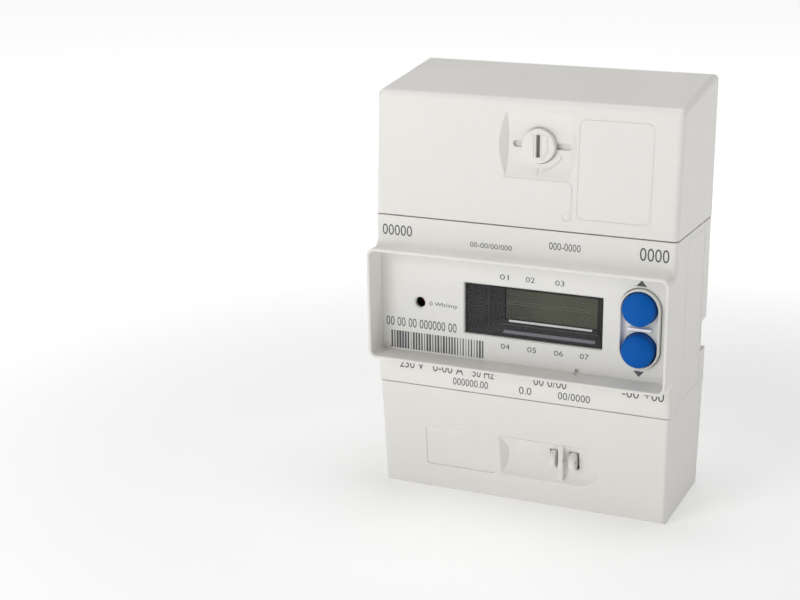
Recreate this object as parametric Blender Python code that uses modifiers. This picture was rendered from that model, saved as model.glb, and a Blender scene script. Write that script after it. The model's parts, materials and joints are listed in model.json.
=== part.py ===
"""Smart electric meter, single-phase panel type.

The meter stands on its lower cover. +Z is up, the front faces -Y, and the origin is the centre of the
bounding box's base. Sizes are in millimetres and the helpers turn them into metres. A depth is
measured backwards (+Y) from the front face of the middle housing.
"""

import math

import bmesh
import bpy
from mathutils import Matrix, Vector

MM = 0.001

# Housing
BODY_WIDTH = 126.0
BODY_DEPTH = 52.0
LOWER_HEIGHT = 46.2
MIDDLE_HEIGHT = 70.9
UPPER_HEIGHT = 49.7
TOP_RISE = 8.4
WALL = 2.2
GAP = 0.3
SEAM = 0.5
EDGE_RADIUS = 2.4
BODY_EDGE_RADIUS = 1.8

# Rear shell
BASE_DEPTH = 9.3
BACK_PLATE = 2.5
REAR_CHAMFER = 0.9
NOTCH_HEIGHT = 13.0
NOTCH_ABOVE_SEAM = 15.3
NOTCH_INSET = 5.0
NOTCH_DEPTH = 8.0
KEYHOLE_RADIUS = 4.5
KEYHOLE_SLOT = 5.0
KEYHOLE_RISE = 8.0
KEYHOLE_BELOW_TOP = 15.0
FIXING_RADIUS = 1.9

# Bezel and face plate
BEZEL_PROTRUSION = 9.1
BEZEL_ABOVE_SEAM = 12.3
BEZEL_HEIGHT = 46.3
BEZEL_RIM = 1.3
BEZEL_RADIUS = 3.4
FACE_DEPTH = 2.0
FACE_THICKNESS = 1.8
LEDGE_WIDTH = 3.0
LEDGE_THICKNESS = 1.9
DISPLAY_DROP = 0.45
SIDE_PANEL_START = 17.0
SIDE_PANEL_INSET = 0.8
SIDE_PANEL_MARGIN = 3.2

# Display
WINDOW_X = 4.3
WINDOW_WIDTH = 58.8
WINDOW_HEIGHT = 21.2
WINDOW_THICKNESS = 1.2
MASK_THICKNESS = 3.6
MASK_LIP = 1.5
LCD_X = 10.2
LCD_ABOVE_AXIS = 2.0
LCD_WIDTH = 44.5
LCD_HEIGHT = 18.0
LCD_THICKNESS = 1.8
LCD_VIEW_MARGIN = 2.9
REFLECTOR_THICKNESS = 1.0
CONTACT_STRIP_HEIGHT = 1.8
LED_INSET = 18.3
LED_RADIUS = 1.5
LED_HOLE_RADIUS = 2.2
LED_LENGTH = 7.5

# Push buttons
BUTTON_INSET = 14.0
BUTTON_RADIUS = 6.6
BUTTON_SPACING = 3.5
BUTTON_CLEARANCE = 0.35
BUTTON_TRAVEL = 1.5
BUTTON_PROUD = 4.0
BUTTON_CROWN = 2.2
BUTTON_FLANGE = 1.3
BUTTON_FLANGE_THICKNESS = 1.0
BUTTON_STEM_RADIUS = 2.0
SURROUND_MARGIN = 1.7
SURROUND_TUCK = 0.9
SURROUND_WALL = 0.9
SURROUND_RISE = 2.0
SURROUND_FLOOR = 1.5
SURROUND_BAR = (9.6, 1.2)
SWITCH_SIZE = 6.0
SWITCH_PLUNGER = 0.8

# Circuit boards and what they carry
BOARD_THICKNESS = 1.6
MAIN_BOARD_DEPTH = 14.0
MAIN_BOARD_INSET = 5.5
POWER_BOARD_STANDOFF = 3.6
POST_RADIUS = 2.6
SCREW_BORE = 1.3
SCREW_SHANK = 1.0
SCREW_HEAD = (2.4, 1.4)
TRANSFORMER_SIZE = (26.0, 18.0, 22.0)
RELAY_SIZE = (19.0, 15.0, 15.5)
CAPACITOR_RADIUS = 6.2
CAPACITOR_LENGTH = 19.0
HEADER_SIZE = (20.0, 2.5)

# Lower terminals
TERMINAL_PITCH = 25.0
TERMINAL_COUNT = 4
BLOCK_FRONT = 12.0
BLOCK_MARGIN = 8.0
BLOCK_BOTTOM = 14.0
BLOCK_TOP_CLEARANCE = 2.0
CAGE_SIZE = (9.6, 11.0, 9.0)
CAGE_WALL = 1.6
CAGE_TRAVEL = 3.2
CLAMP_AXIS_DROP = 11.5
TERMINAL_SCREW_SHANK = 2.2
TERMINAL_SCREW_HEAD = (3.8, 3.6)
TERMINAL_HEAD_DEPTH = 14.0
BAR_WIDTH = 5.8
BAR_THICKNESS = 1.5
BAR_RISE = 14.0
SHUNT_HEIGHT = 8.0

# Upper terminals
AUX_BLOCK_SIZE = (42.0, 27.0, 13.5)
AUX_BLOCK_X = -25.0
AUX_WAYS = 5
AUX_HOLE_RADIUS = 1.5

# Covers
COVER_LEAN = 3.0
LOWER_TAPER = 0.9
LOWER_INSET = 0.4
SCOOP_DEPTH = 3.0
SCOOP_X = (-7.3, 18.6)
SCOOP_HEIGHT = 25.4
KNOB_X = 5.7
KNOB_ABOVE_SEAM = 31.9
KNOB_RADIUS = 6.7
KNOB_HEAD = 2.5
KNOB_NECK = 4.5
KNOB_SLOT = (1.7, 8.7, 1.6)
GROOVE_X = (-5.6, 18.4)
GROOVE_HEIGHT = 2.5
GROOVE_DEPTH = 0.9
CLIP_RADIUS = 6.2
CLIP_THICKNESS = 0.8
LIP_THICKNESS = 2.3
CAM_SIZE = (5.0, 1.6, 20.0)
KEEPER_OPENING = 6.9
KEEPER_ARM = 3.0
KEEPER_HEIGHT = 8.0
SEAL_RECESS_X = (-9.0, 25.2)
SEAL_RECESS_HEIGHT = 16.8
SEAL_AXIS_Z = 19.6
SEAL_RIB_X = (16.4, 18.6)
SEAL_RIB_HEIGHT = 15.0
SEAL_EAR_X = (13.0, 21.3)
SEAL_EAR_THICKNESS = 2.4
SEAL_EAR_RADIUS = 3.7
SEAL_EAR_PROUD = 0.0
EAR_SLOT_MARGIN = 0.9
SEAL_EAR_Z = 21.5
WIRE_HOLE_RADIUS = 0.8
CABLE_SLOT = (92.0, 27.0)
CABLE_SLOT_REAR = 5.0
HOUSING_SCREW_INSET = 10.0
HOUSING_TAB = (9.0, 2.4, 9.2)
HOUSING_SCREW_HEAD = (3.1, 2.0)
HOUSING_SCREW_SHANK = 1.3
HOUSING_SCREW_BORE = 1.7
BOSS_RADIUS = 3.9

# Derived places
HALF_WIDTH = BODY_WIDTH / 2
LED_X = LED_INSET - HALF_WIDTH
BUTTON_X = HALF_WIDTH - BUTTON_INSET
BUTTON_PITCH = 2 * BUTTON_RADIUS + BUTTON_SPACING
SURROUND_RADIUS = BUTTON_RADIUS + SURROUND_MARGIN
SURROUND_CENTRES = BUTTON_PITCH - SURROUND_TUCK
HOUSING_SCREW_X = HALF_WIDTH - HOUSING_SCREW_INSET
FRONT_Y = -(BODY_DEPTH - BEZEL_PROTRUSION) / 2
UPPER_SEAM = LOWER_HEIGHT + MIDDLE_HEIGHT
MIDDLE_BOTTOM = LOWER_HEIGHT + SEAM / 2
MIDDLE_TOP = UPPER_SEAM - SEAM / 2
TOP_FRONT = UPPER_SEAM + UPPER_HEIGHT
TOP_BACK = TOP_FRONT + TOP_RISE
BASE_FRONT = BODY_DEPTH - BASE_DEPTH
COVER_BACK = BASE_FRONT - GAP
PLATE_FRONT = BODY_DEPTH - BACK_PLATE
BEZEL_BOTTOM = LOWER_HEIGHT + BEZEL_ABOVE_SEAM
BEZEL_TOP = BEZEL_BOTTOM + BEZEL_HEIGHT
DISPLAY_AXIS = (BEZEL_BOTTOM + BEZEL_TOP) / 2 - DISPLAY_DROP
OPENING_HALF = HALF_WIDTH - BEZEL_RIM
OPENING_BOTTOM = BEZEL_BOTTOM + BEZEL_RIM
OPENING_TOP = BEZEL_TOP - BEZEL_RIM
FACE_BACK = FACE_DEPTH + FACE_THICKNESS
LEDGE_FRONT = FACE_BACK + GAP
LEDGE_BACK = LEDGE_FRONT + LEDGE_THICKNESS
MASK_FRONT = FACE_BACK + GAP
LCD_FRONT = MASK_FRONT + MASK_THICKNESS + GAP
LCD_BACK = LCD_FRONT + LCD_THICKNESS
LCD_Z = DISPLAY_AXIS + LCD_ABOVE_AXIS
MAIN_BOARD_BACK = MAIN_BOARD_DEPTH + BOARD_THICKNESS
POWER_BOARD_BACK = PLATE_FRONT - POWER_BOARD_STANDOFF
POWER_BOARD_FRONT = POWER_BOARD_BACK - BOARD_THICKNESS
BLOCK_TOP = LOWER_HEIGHT - BLOCK_TOP_CLEARANCE
BLOCK_BACK = PLATE_FRONT - GAP
CLAMP_AXIS = LOWER_HEIGHT - CLAMP_AXIS_DROP
HEAD_BACK = TERMINAL_HEAD_DEPTH + TERMINAL_SCREW_HEAD[1]
CAGE_FRONT = HEAD_BACK + 2 * GAP + CAGE_WALL + CAGE_TRAVEL
BAR_FRONT = CAGE_FRONT + CAGE_WALL + 2 * GAP
BAR_BACK = BAR_FRONT + BAR_THICKNESS
BAR_TOP = LOWER_HEIGHT + BAR_RISE
KNOB_Z = UPPER_SEAM + KNOB_ABOVE_SEAM
UPPER_INNER_BACK_TOP = TOP_BACK - WALL

PARTS = "smart_electric_meter"
CUTTERS = "smart_electric_meter_cutters"

# Finish: colour (linear), roughness, metallic, alpha
FINISHES = {
    "housing_plastic": ((0.74, 0.73, 0.70), 0.55, 0.0, 1.0),
    "face_plastic": ((0.64, 0.63, 0.61), 0.6, 0.0, 1.0),
    "window_clear": ((0.85, 0.88, 0.88), 0.08, 0.0, 0.35),
    "mask_black": ((0.015, 0.015, 0.016), 0.4, 0.0, 1.0),
    "lcd_glass": ((0.075, 0.082, 0.045), 0.12, 0.0, 1.0),
    "button_blue": ((0.006, 0.11, 0.42), 0.3, 0.0, 1.0),
    "board_green": ((0.02, 0.14, 0.06), 0.5, 0.0, 1.0),
    "led_red": ((0.35, 0.01, 0.01), 0.15, 0.0, 1.0),
    "contact_rubber": ((0.30, 0.30, 0.31), 0.8, 0.0, 1.0),
    "component_black": ((0.03, 0.03, 0.032), 0.5, 0.0, 1.0),
    "component_yellow": ((0.62, 0.47, 0.08), 0.45, 0.0, 1.0),
    "terminal_plastic": ((0.07, 0.07, 0.075), 0.6, 0.0, 1.0),
    "brass": ((0.62, 0.44, 0.16), 0.3, 1.0, 1.0),
    "copper": ((0.64, 0.27, 0.14), 0.3, 1.0, 1.0),
    "plated_steel": ((0.55, 0.55, 0.56), 0.3, 1.0, 1.0),
}


# ---------------------------------------------------------------- helpers


def clear_scene():
    """Empty the file of objects and leftover collections."""
    for item in list(bpy.data.objects):
        bpy.data.objects.remove(item, do_unlink=True)
    for group in list(bpy.data.collections):
        bpy.data.collections.remove(group)


def collection(name):
    """Return the named collection, making it once."""
    group = bpy.data.collections.get(name)
    if group is None:
        group = bpy.data.collections.new(name)
        bpy.context.scene.collection.children.link(group)
    return group


def finish_material(part_name, finish):
    """Make the Principled material of one part."""
    colour, roughness, metallic, alpha = FINISHES[finish]
    material = bpy.data.materials.new(part_name + "_" + finish)
    material.use_nodes = True
    shader = material.node_tree.nodes["Principled BSDF"]
    shader.inputs["Base Color"].default_value = (*colour, 1.0)
    shader.inputs["Roughness"].default_value = roughness
    shader.inputs["Metallic"].default_value = metallic
    shader.inputs["Alpha"].default_value = alpha
    return material


def at(x, depth, z):
    """World position, in metres, of a point given in millimetres."""
    return Vector((x, FRONT_Y + depth, z)) * MM


def span(centre, size):
    """Low and high limits of a length centred on a value."""
    return (centre - size / 2, centre + size / 2)


def register(name, shape, location, finish):
    """Turn a bmesh into an object; with no finish it becomes a hidden cutter."""
    mesh = bpy.data.meshes.new(name)
    bmesh.ops.recalc_face_normals(shape, faces=shape.faces)
    shape.to_mesh(mesh)
    shape.free()
    item = bpy.data.objects.new(name, mesh)
    item.location = location
    if finish is None:
        collection(CUTTERS).objects.link(item)
        item.hide_render = True
        item.display_type = "WIRE"
    else:
        collection(PARTS).objects.link(item)
        mesh.materials.append(finish_material(name, finish))
    return item


def along(edge, axis):
    """True where a bmesh edge runs along a coordinate axis."""
    run = edge.verts[1].co - edge.verts[0].co
    return abs(run[axis]) > 0.999 * run.length


def block(name, x, depth, z, finish=None, radius=0.0, axis=1, segments=3):
    """A box from its limits, with the four edges along one axis rounded."""
    size = Vector((x[1] - x[0], depth[1] - depth[0], z[1] - z[0])) * MM
    shape = bmesh.new()
    bmesh.ops.create_cube(shape, size=1.0)
    bmesh.ops.scale(shape, vec=size, verts=shape.verts)
    if radius:
        edges = [edge for edge in shape.edges if along(edge, axis)]
        bmesh.ops.bevel(shape, geom=edges, offset=radius * MM, segments=segments, profile=0.5,
                        affect="EDGES", clamp_overlap=True)
    return register(name, shape, at(sum(x) / 2, sum(depth) / 2, sum(z) / 2), finish)


def shaped_block(name, corner, finish=None, radius=0.0, rounded=None, segments=3):
    """A six-sided block whose corners come from corner(right, back, top).

    The three arguments of corner are False or True. Edges picked by rounded(middle) are rounded, where
    middle holds the sign of the edge's side on each axis, or 0 along the edge's own axis.
    """
    shape = bmesh.new()
    bmesh.ops.create_cube(shape, size=2.0)
    picked = []
    for edge in shape.edges:
        middle = (edge.verts[0].co + edge.verts[1].co) / 2
        if rounded is not None and rounded(*(round(value) for value in middle)):
            picked.append(edge)
    for vert in shape.verts:
        vert.co = at(*corner(vert.co.x > 0, vert.co.y > 0, vert.co.z > 0))
    if picked:
        bmesh.ops.bevel(shape, geom=picked, offset=radius * MM, segments=segments, profile=0.5,
                        affect="EDGES", clamp_overlap=True)
    return register(name, shape, (0.0, 0.0, 0.0), finish)


AXIS_TURNS = {
    "x": Matrix.Rotation(math.radians(90), 4, "Y"),
    "depth": Matrix.Rotation(math.radians(-90), 4, "X"),
    "z": Matrix.Identity(4),
}


def rod(name, start, length, radius, axis, finish=None, segments=24):
    """A round bar from a start point, running along x, depth or z."""
    shape = bmesh.new()
    bmesh.ops.create_cone(shape, cap_ends=True, segments=segments, radius1=radius * MM,
                          radius2=radius * MM, depth=length * MM)
    bmesh.ops.translate(shape, vec=(0.0, 0.0, length * MM / 2), verts=shape.verts)
    bmesh.ops.transform(shape, matrix=AXIS_TURNS[axis], verts=shape.verts)
    return register(name, shape, at(*start), finish)


def turned(name, profile, centre, axis, finish=None, steps=32):
    """A turned body with a Screw modifier.

    profile holds (radius, place) pairs along the axis, from one end of the axis to the other. Along
    depth the places grow backwards, and along x they grow to the right. A ring's profile ends on the
    pair that it starts with.
    """
    mesh = bpy.data.meshes.new(name)
    ring = profile[0] == profile[-1]
    points = [(radius * MM, 0.0, -place * MM) for radius, place in (profile[:-1] if ring else profile)]
    edges = [(index, index + 1) for index in range(len(points) - 1)]
    if ring:
        edges.append((len(points) - 1, 0))
    mesh.from_pydata(points, edges, [])
    item = bpy.data.objects.new(name, mesh)
    item.location = at(*centre)
    item.rotation_euler = {
        "depth": (math.radians(90), 0.0, 0.0),
        "x": (0.0, math.radians(-90), 0.0),
    }[axis]
    screw = item.modifiers.new("turn", "SCREW")
    screw.axis = "Z"
    screw.angle = math.radians(360)
    screw.steps = steps
    screw.render_steps = steps
    screw.use_merge_vertices = True
    screw.merge_threshold = 0.00001
    if finish is None:
        collection(CUTTERS).objects.link(item)
        item.hide_render = True
        item.display_type = "WIRE"
    else:
        collection(PARTS).objects.link(item)
        mesh.materials.append(finish_material(name, finish))
    return item


def combine(target, operation, tools):
    """Add one Boolean modifier for each tool."""
    for tool in tools:
        modifier = target.modifiers.new(operation.lower() + "_" + tool.name, "BOOLEAN")
        modifier.operation = operation
        modifier.solver = "EXACT"
        modifier.object = tool
    return target


def cut(target, *tools):
    """Subtract tools from a part."""
    return combine(target, "DIFFERENCE", tools)


def join(target, *tools):
    """Add tools to a part as one body."""
    return combine(target, "UNION", tools)


def stadium(name, centre_x, centre_z, depth, centres, radius, finish=None, segments=8):
    """An upright slot shape: a block whose edges along the depth are rounded to half its width."""
    return block(name, span(centre_x, 2 * radius), depth, span(centre_z, centres + 2 * radius),
                 finish, radius=radius * 0.999, axis=1, segments=segments * 2)


def front_depth(z):
    """Depth of the covers' leaning front face at a height."""
    if z >= UPPER_SEAM:
        return COVER_LEAN * (z - UPPER_SEAM) / UPPER_HEIGHT
    return LOWER_INSET + (COVER_LEAN - LOWER_INSET) * (LOWER_HEIGHT - z) / LOWER_HEIGHT


def screw(name, x, z, seat, length, head, shank, finish="plated_steel", segments=16):
    """A screw driven backwards: its head in front of the seat depth, with a cross recess."""
    head_radius, head_height = head
    body = turned(name, [(0.0, -head_height), (head_radius * 0.8, -head_height),
                         (head_radius, -head_height * 0.55), (head_radius, 0.0), (shank, 0.0),
                         (shank, length), (0.0, length)], (x, seat, z), "depth", finish, segments)
    recess = (seat - head_height - GAP, seat - head_height * 0.45)
    for index, size in enumerate(((head_radius * 1.1, shank * 0.5), (shank * 0.5, head_radius * 1.1))):
        cut(body, block(f"{name}_recess_{index}", span(x, size[0]), recess, span(z, size[1])))
    return body


# ---------------------------------------------------------------- housing


def make_base_shell():
    """Rear moulding: a shallow tray behind the middle housing and a back plate for both covers."""
    tray = shaped_block(
        "base_shell",
        lambda right, back, top: (HALF_WIDTH if right else -HALF_WIDTH,
                                  BODY_DEPTH if back else BASE_FRONT,
                                  MIDDLE_TOP if top else MIDDLE_BOTTOM),
        "housing_plastic", REAR_CHAMFER, lambda x, y, z: z == 0 and y > 0, segments=1)
    upper_half = HALF_WIDTH - WALL - GAP
    lower_half = HALF_WIDTH - LOWER_INSET - LOWER_TAPER - WALL - 2 * GAP
    plate_depth = (PLATE_FRONT, BODY_DEPTH)
    upper_top = UPPER_INNER_BACK_TOP - 3 * GAP
    join(tray,
         block("base_upper_plate", (-upper_half, upper_half), plate_depth, (MIDDLE_TOP - WALL, upper_top)),
         block("base_lower_plate", (-lower_half, lower_half), plate_depth,
               (WALL + GAP, MIDDLE_BOTTOM + WALL)))
    inner_half = HALF_WIDTH - WALL - GAP
    cut(tray, block("base_tray_hollow", (-inner_half, inner_half), (BASE_FRONT - 1.0, PLATE_FRONT),
                    (MIDDLE_BOTTOM + WALL, MIDDLE_TOP - WALL)))
    notch_z = (LOWER_HEIGHT + NOTCH_ABOVE_SEAM, LOWER_HEIGHT + NOTCH_ABOVE_SEAM + NOTCH_HEIGHT)
    notch_wall_z = (notch_z[0] - WALL, notch_z[1] + WALL)
    for side, label in ((-1, "left"), (1, "right")):
        inner = HALF_WIDTH - NOTCH_INSET
        wall = sorted((side * (inner - WALL), side * (inner_half + GAP)))
        join(tray, block(f"base_notch_wall_{label}", wall, (BASE_FRONT, PLATE_FRONT + GAP), notch_wall_z))
        cut(tray, block(f"base_notch_{label}", sorted((side * inner, side * (HALF_WIDTH + 1.0))),
                        (BODY_DEPTH - NOTCH_DEPTH, BODY_DEPTH + 1.0), notch_z))
    for index, (x, z) in enumerate(housing_screw_places()):
        join(tray, rod(f"base_boss_{index}", (x, BASE_FRONT, z), BASE_DEPTH - GAP, BOSS_RADIUS, "depth"))
        cut(tray, rod(f"base_boss_bore_{index}", (x, BASE_FRONT - 1.0, z), BASE_DEPTH - BACK_PLATE,
                      HOUSING_SCREW_BORE, "depth", segments=16))
    for index, (x, z) in enumerate(power_board_screw_places()):
        join(tray, rod(f"base_post_{index}", (x, POWER_BOARD_BACK + GAP, z), POWER_BOARD_STANDOFF,
                       POST_RADIUS, "depth", segments=16))
        cut(tray, rod(f"base_post_bore_{index}", (x, POWER_BOARD_BACK, z), POWER_BOARD_STANDOFF,
                      SCREW_BORE, "depth", segments=12))
    through = (PLATE_FRONT - 1.0, BODY_DEPTH + 1.0)
    keyhole_z = upper_top - KEYHOLE_BELOW_TOP
    cut(tray,
        rod("keyhole_entry", (0.0, through[0], keyhole_z), through[1] - through[0], KEYHOLE_RADIUS,
            "depth"),
        block("keyhole_slot", span(0.0, KEYHOLE_SLOT), through, (keyhole_z, keyhole_z + KEYHOLE_RISE),
              radius=KEYHOLE_SLOT * 0.45))
    for side in (-1, 1):
        cut(tray, rod(f"fixing_hole_{side}", (side * HOUSING_SCREW_X, through[0], BLOCK_BOTTOM),
                      through[1] - through[0], FIXING_RADIUS, "depth", segments=16))
    return tray


def housing_screw_places():
    """x and z of the four screws that hold the housing together."""
    drop = HOUSING_TAB[2] / 2
    return [(side * HOUSING_SCREW_X, z) for z in (MIDDLE_TOP + drop, MIDDLE_BOTTOM - drop)
            for side in (-1, 1)]


def main_board_screw_places():
    """x and z of the display board's four screws, on the ledge behind the face plate."""
    x = OPENING_HALF - LEDGE_WIDTH - POST_RADIUS - GAP
    return [(side * x, z) for z in (OPENING_BOTTOM + GAP, OPENING_TOP - GAP) for side in (-1, 1)]


def power_board_screw_places():
    """x and z of the supply board's two screws."""
    return [(side * (HALF_WIDTH - NOTCH_INSET - WALL - 2 * POST_RADIUS), MIDDLE_TOP - WALL - 2 * POST_RADIUS)
            for side in (-1, 1)]


def make_main_cover():
    """Middle housing: an open-backed box with the protruding picture-frame bezel."""
    cover = shaped_block(
        "main_cover",
        lambda right, back, top: (HALF_WIDTH if right else -HALF_WIDTH, COVER_BACK if back else 0.0,
                                  MIDDLE_TOP if top else MIDDLE_BOTTOM),
        "housing_plastic", BODY_EDGE_RADIUS, lambda x, y, z: z == 0 and y < 0)
    inner_half = HALF_WIDTH - WALL
    cut(cover, block("cover_hollow", (-inner_half, inner_half), (WALL, COVER_BACK + 1.0),
                     (MIDDLE_BOTTOM + WALL, MIDDLE_TOP - WALL)))
    join(cover,
         block("cover_collar", (-inner_half - GAP, inner_half + GAP), (WALL - 1.0, LEDGE_BACK),
               (OPENING_BOTTOM - WALL, OPENING_TOP + WALL)),
         block("bezel_frame", (-HALF_WIDTH, HALF_WIDTH), (-BEZEL_PROTRUSION, BODY_EDGE_RADIUS + 0.4),
               (BEZEL_BOTTOM, BEZEL_TOP), radius=BEZEL_RADIUS, segments=4))
    for index, (x, z) in enumerate(main_board_screw_places()):
        length = MAIN_BOARD_DEPTH - GAP - LEDGE_BACK + 1.0
        join(cover, rod(f"board_post_{index}", (x, LEDGE_BACK - 1.0, z), length, POST_RADIUS, "depth",
                        segments=16))
    tab_width, tab_thickness, tab_height = HOUSING_TAB
    for index, (x, z) in enumerate(housing_screw_places()):
        inward = -1.0 if z > UPPER_SEAM else 1.0
        reach = sorted((z + inward * (tab_height / 2 + 1.0), z - inward * tab_height / 2))
        join(cover, block(f"housing_tab_{index}", span(x, tab_width),
                          (COVER_BACK - tab_thickness, COVER_BACK), reach))
    cut(cover,
        block("bezel_opening", (-OPENING_HALF, OPENING_HALF), (-BEZEL_PROTRUSION - 1.0, LEDGE_FRONT),
              (OPENING_BOTTOM, OPENING_TOP), radius=BEZEL_RADIUS - BEZEL_RIM),
        block("ledge_opening", span(0.0, 2 * (OPENING_HALF - LEDGE_WIDTH)),
              (LEDGE_FRONT - 1.0, LEDGE_BACK + 0.2),
              (OPENING_BOTTOM + LEDGE_WIDTH, OPENING_TOP - LEDGE_WIDTH), radius=1.0),
        stadium("ledge_button_opening", BUTTON_X, DISPLAY_AXIS, (LEDGE_FRONT - 1.0, LEDGE_BACK + 0.2),
                BUTTON_PITCH, SURROUND_RADIUS + GAP))
    for index, (x, z) in enumerate(main_board_screw_places()):
        cut(cover, rod(f"board_post_bore_{index}", (x, LEDGE_BACK + GAP, z),
                       MAIN_BOARD_DEPTH - LEDGE_BACK, SCREW_BORE, "depth", segments=12))
    for index, (x, z) in enumerate(housing_screw_places()):
        cut(cover, rod(f"housing_tab_bore_{index}", (x, COVER_BACK - tab_thickness - 1.0, z),
                       tab_thickness + 2.0, HOUSING_SCREW_BORE, "depth", segments=16))
    for side, label in ((-1, "left"), (1, "right")):
        panel = sorted((side * (HALF_WIDTH - SIDE_PANEL_INSET), side * (HALF_WIDTH + 1.0)))
        cut(cover, block(f"side_panel_{label}", panel, (SIDE_PANEL_START, COVER_BACK - SIDE_PANEL_INSET),
                         (MIDDLE_BOTTOM + SIDE_PANEL_MARGIN, MIDDLE_TOP - SIDE_PANEL_MARGIN)))
    floor = (MIDDLE_BOTTOM - 1.0, MIDDLE_BOTTOM + WALL + 1.0)
    for index, x in enumerate(terminal_places()):
        cut(cover, block(f"bar_slot_{index}", span(x, BAR_WIDTH + 2 * GAP),
                         (BAR_FRONT - GAP, BAR_BACK + GAP), floor))
    return cover


def make_housing_screws():
    """Four screws through the hidden tabs of the middle housing into the rear shell."""
    seat = COVER_BACK - HOUSING_TAB[1] - GAP
    for index, (x, z) in enumerate(housing_screw_places()):
        screw(f"housing_screw_{index + 1}", x, z, seat, HOUSING_TAB[1] + 5.0, HOUSING_SCREW_HEAD,
              HOUSING_SCREW_SHANK)


# ---------------------------------------------------------------- display and buttons


def make_face_plate():
    """Grey insert inside the bezel with the window, lamp and button openings."""
    plate = block("face_plate", (-OPENING_HALF + GAP, OPENING_HALF - GAP), (FACE_DEPTH, FACE_BACK),
                  (OPENING_BOTTOM + GAP, OPENING_TOP - GAP), "face_plastic",
                  radius=BEZEL_RADIUS - BEZEL_RIM)
    depth = (FACE_DEPTH - 1.0, FACE_BACK + 1.0)
    cut(plate,
        block("window_opening", span(WINDOW_X, WINDOW_WIDTH), depth, span(DISPLAY_AXIS, WINDOW_HEIGHT)),
        rod("lamp_opening", (LED_X, depth[0], DISPLAY_AXIS), depth[1] - depth[0], LED_HOLE_RADIUS,
            "depth"),
        stadium("button_opening", BUTTON_X, DISPLAY_AXIS, depth, SURROUND_CENTRES,
                SURROUND_RADIUS + GAP))
    return plate


def make_display():
    """Window, black mask, liquid-crystal cell, its reflector and the two rubber contact strips."""
    block("display_window", span(WINDOW_X, WINDOW_WIDTH - 2 * GAP),
          (FACE_BACK - WINDOW_THICKNESS, FACE_BACK), span(DISPLAY_AXIS, WINDOW_HEIGHT - 2 * GAP),
          "window_clear")
    mask = block("display_mask", span(WINDOW_X, WINDOW_WIDTH + 2 * MASK_LIP),
                 (MASK_FRONT, MASK_FRONT + MASK_THICKNESS),
                 span(DISPLAY_AXIS, WINDOW_HEIGHT + 2 * MASK_LIP), "mask_black")
    view_width = LCD_WIDTH - 2 * LCD_VIEW_MARGIN
    view_height = LCD_HEIGHT - 2 * LCD_VIEW_MARGIN

    def funnel(right, back, top):
        if back:
            return (LCD_X + (view_width if right else -view_width) / 2,
                    MASK_FRONT + MASK_THICKNESS + 0.1,
                    LCD_Z + (view_height if top else -view_height) / 2)
        return (WINDOW_X + (WINDOW_WIDTH if right else -WINDOW_WIDTH) / 2, MASK_FRONT - 0.1,
                DISPLAY_AXIS + (WINDOW_HEIGHT if top else -WINDOW_HEIGHT) / 2)

    cut(mask, shaped_block("mask_funnel", funnel))
    block("lcd_glass", span(LCD_X, LCD_WIDTH), (LCD_FRONT, LCD_BACK), span(LCD_Z, LCD_HEIGHT), "lcd_glass")
    clear_height = LCD_HEIGHT - 2 * (CONTACT_STRIP_HEIGHT + GAP)
    block("lcd_reflector", span(LCD_X, LCD_WIDTH - 2 * GAP),
          (LCD_BACK + GAP, LCD_BACK + GAP + REFLECTOR_THICKNESS), span(LCD_Z, clear_height),
          "housing_plastic")
    for label, sign in (("lower", -1), ("upper", 1)):
        centre = LCD_Z + sign * (LCD_HEIGHT - CONTACT_STRIP_HEIGHT) / 2
        block(f"contact_strip_{label}", span(LCD_X, LCD_WIDTH - 2 * CONTACT_STRIP_HEIGHT),
              (LCD_BACK + GAP, MAIN_BOARD_DEPTH - GAP), span(centre, CONTACT_STRIP_HEIGHT),
              "contact_rubber")


def make_pulse_lamp():
    """Round-nosed metering pulse lamp standing on the display board."""
    nose = LED_RADIUS
    back = MAIN_BOARD_DEPTH - GAP
    centre = back - LED_LENGTH + nose
    turns = [math.radians(angle) for angle in range(0, 91, 30)]
    arc = [(nose * math.sin(turn), centre - nose * math.cos(turn)) for turn in turns]
    flange = nose + 0.4
    base = [(nose, back - 1.0), (flange, back - 1.0), (flange, back), (0.0, back)]
    turned("pulse_lamp", arc + base, (LED_X, 0.0, DISPLAY_AXIS), "depth", "led_red", 16)


def button_places():
    """Name and height of each push button."""
    return (("select", DISPLAY_AXIS + BUTTON_PITCH / 2), ("scroll", DISPLAY_AXIS - BUTTON_PITCH / 2))


def button_flange_front():
    """Depth of the front face of the buttons' retaining flange."""
    return FACE_DEPTH - SURROUND_RISE + 2.5 + SURROUND_FLOOR + GAP


def make_button_surround():
    """Raised slot-shaped frame round both buttons, with a bar between them."""
    front = FACE_DEPTH - SURROUND_RISE
    floor_back = button_flange_front() - GAP
    floor_front = floor_back - SURROUND_FLOOR
    frame = stadium("button_surround", BUTTON_X, DISPLAY_AXIS, (front, floor_back), SURROUND_CENTRES,
                    SURROUND_RADIUS, "face_plastic")
    cut(frame, stadium("surround_recess", BUTTON_X, DISPLAY_AXIS, (front - 1.0, floor_front),
                       SURROUND_CENTRES, SURROUND_RADIUS - SURROUND_WALL))
    bar_width, bar_height = SURROUND_BAR
    join(frame, block("surround_bar", span(BUTTON_X, bar_width), (front + GAP, floor_back - GAP),
                      span(DISPLAY_AXIS, bar_height), radius=bar_height * 0.45))
    for label, z in button_places():
        cut(frame, rod(f"surround_hole_{label}", (BUTTON_X, front - 1.0, z), floor_back - front + 2.0,
                       BUTTON_RADIUS + BUTTON_CLEARANCE, "depth", segments=32))
    return frame


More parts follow.
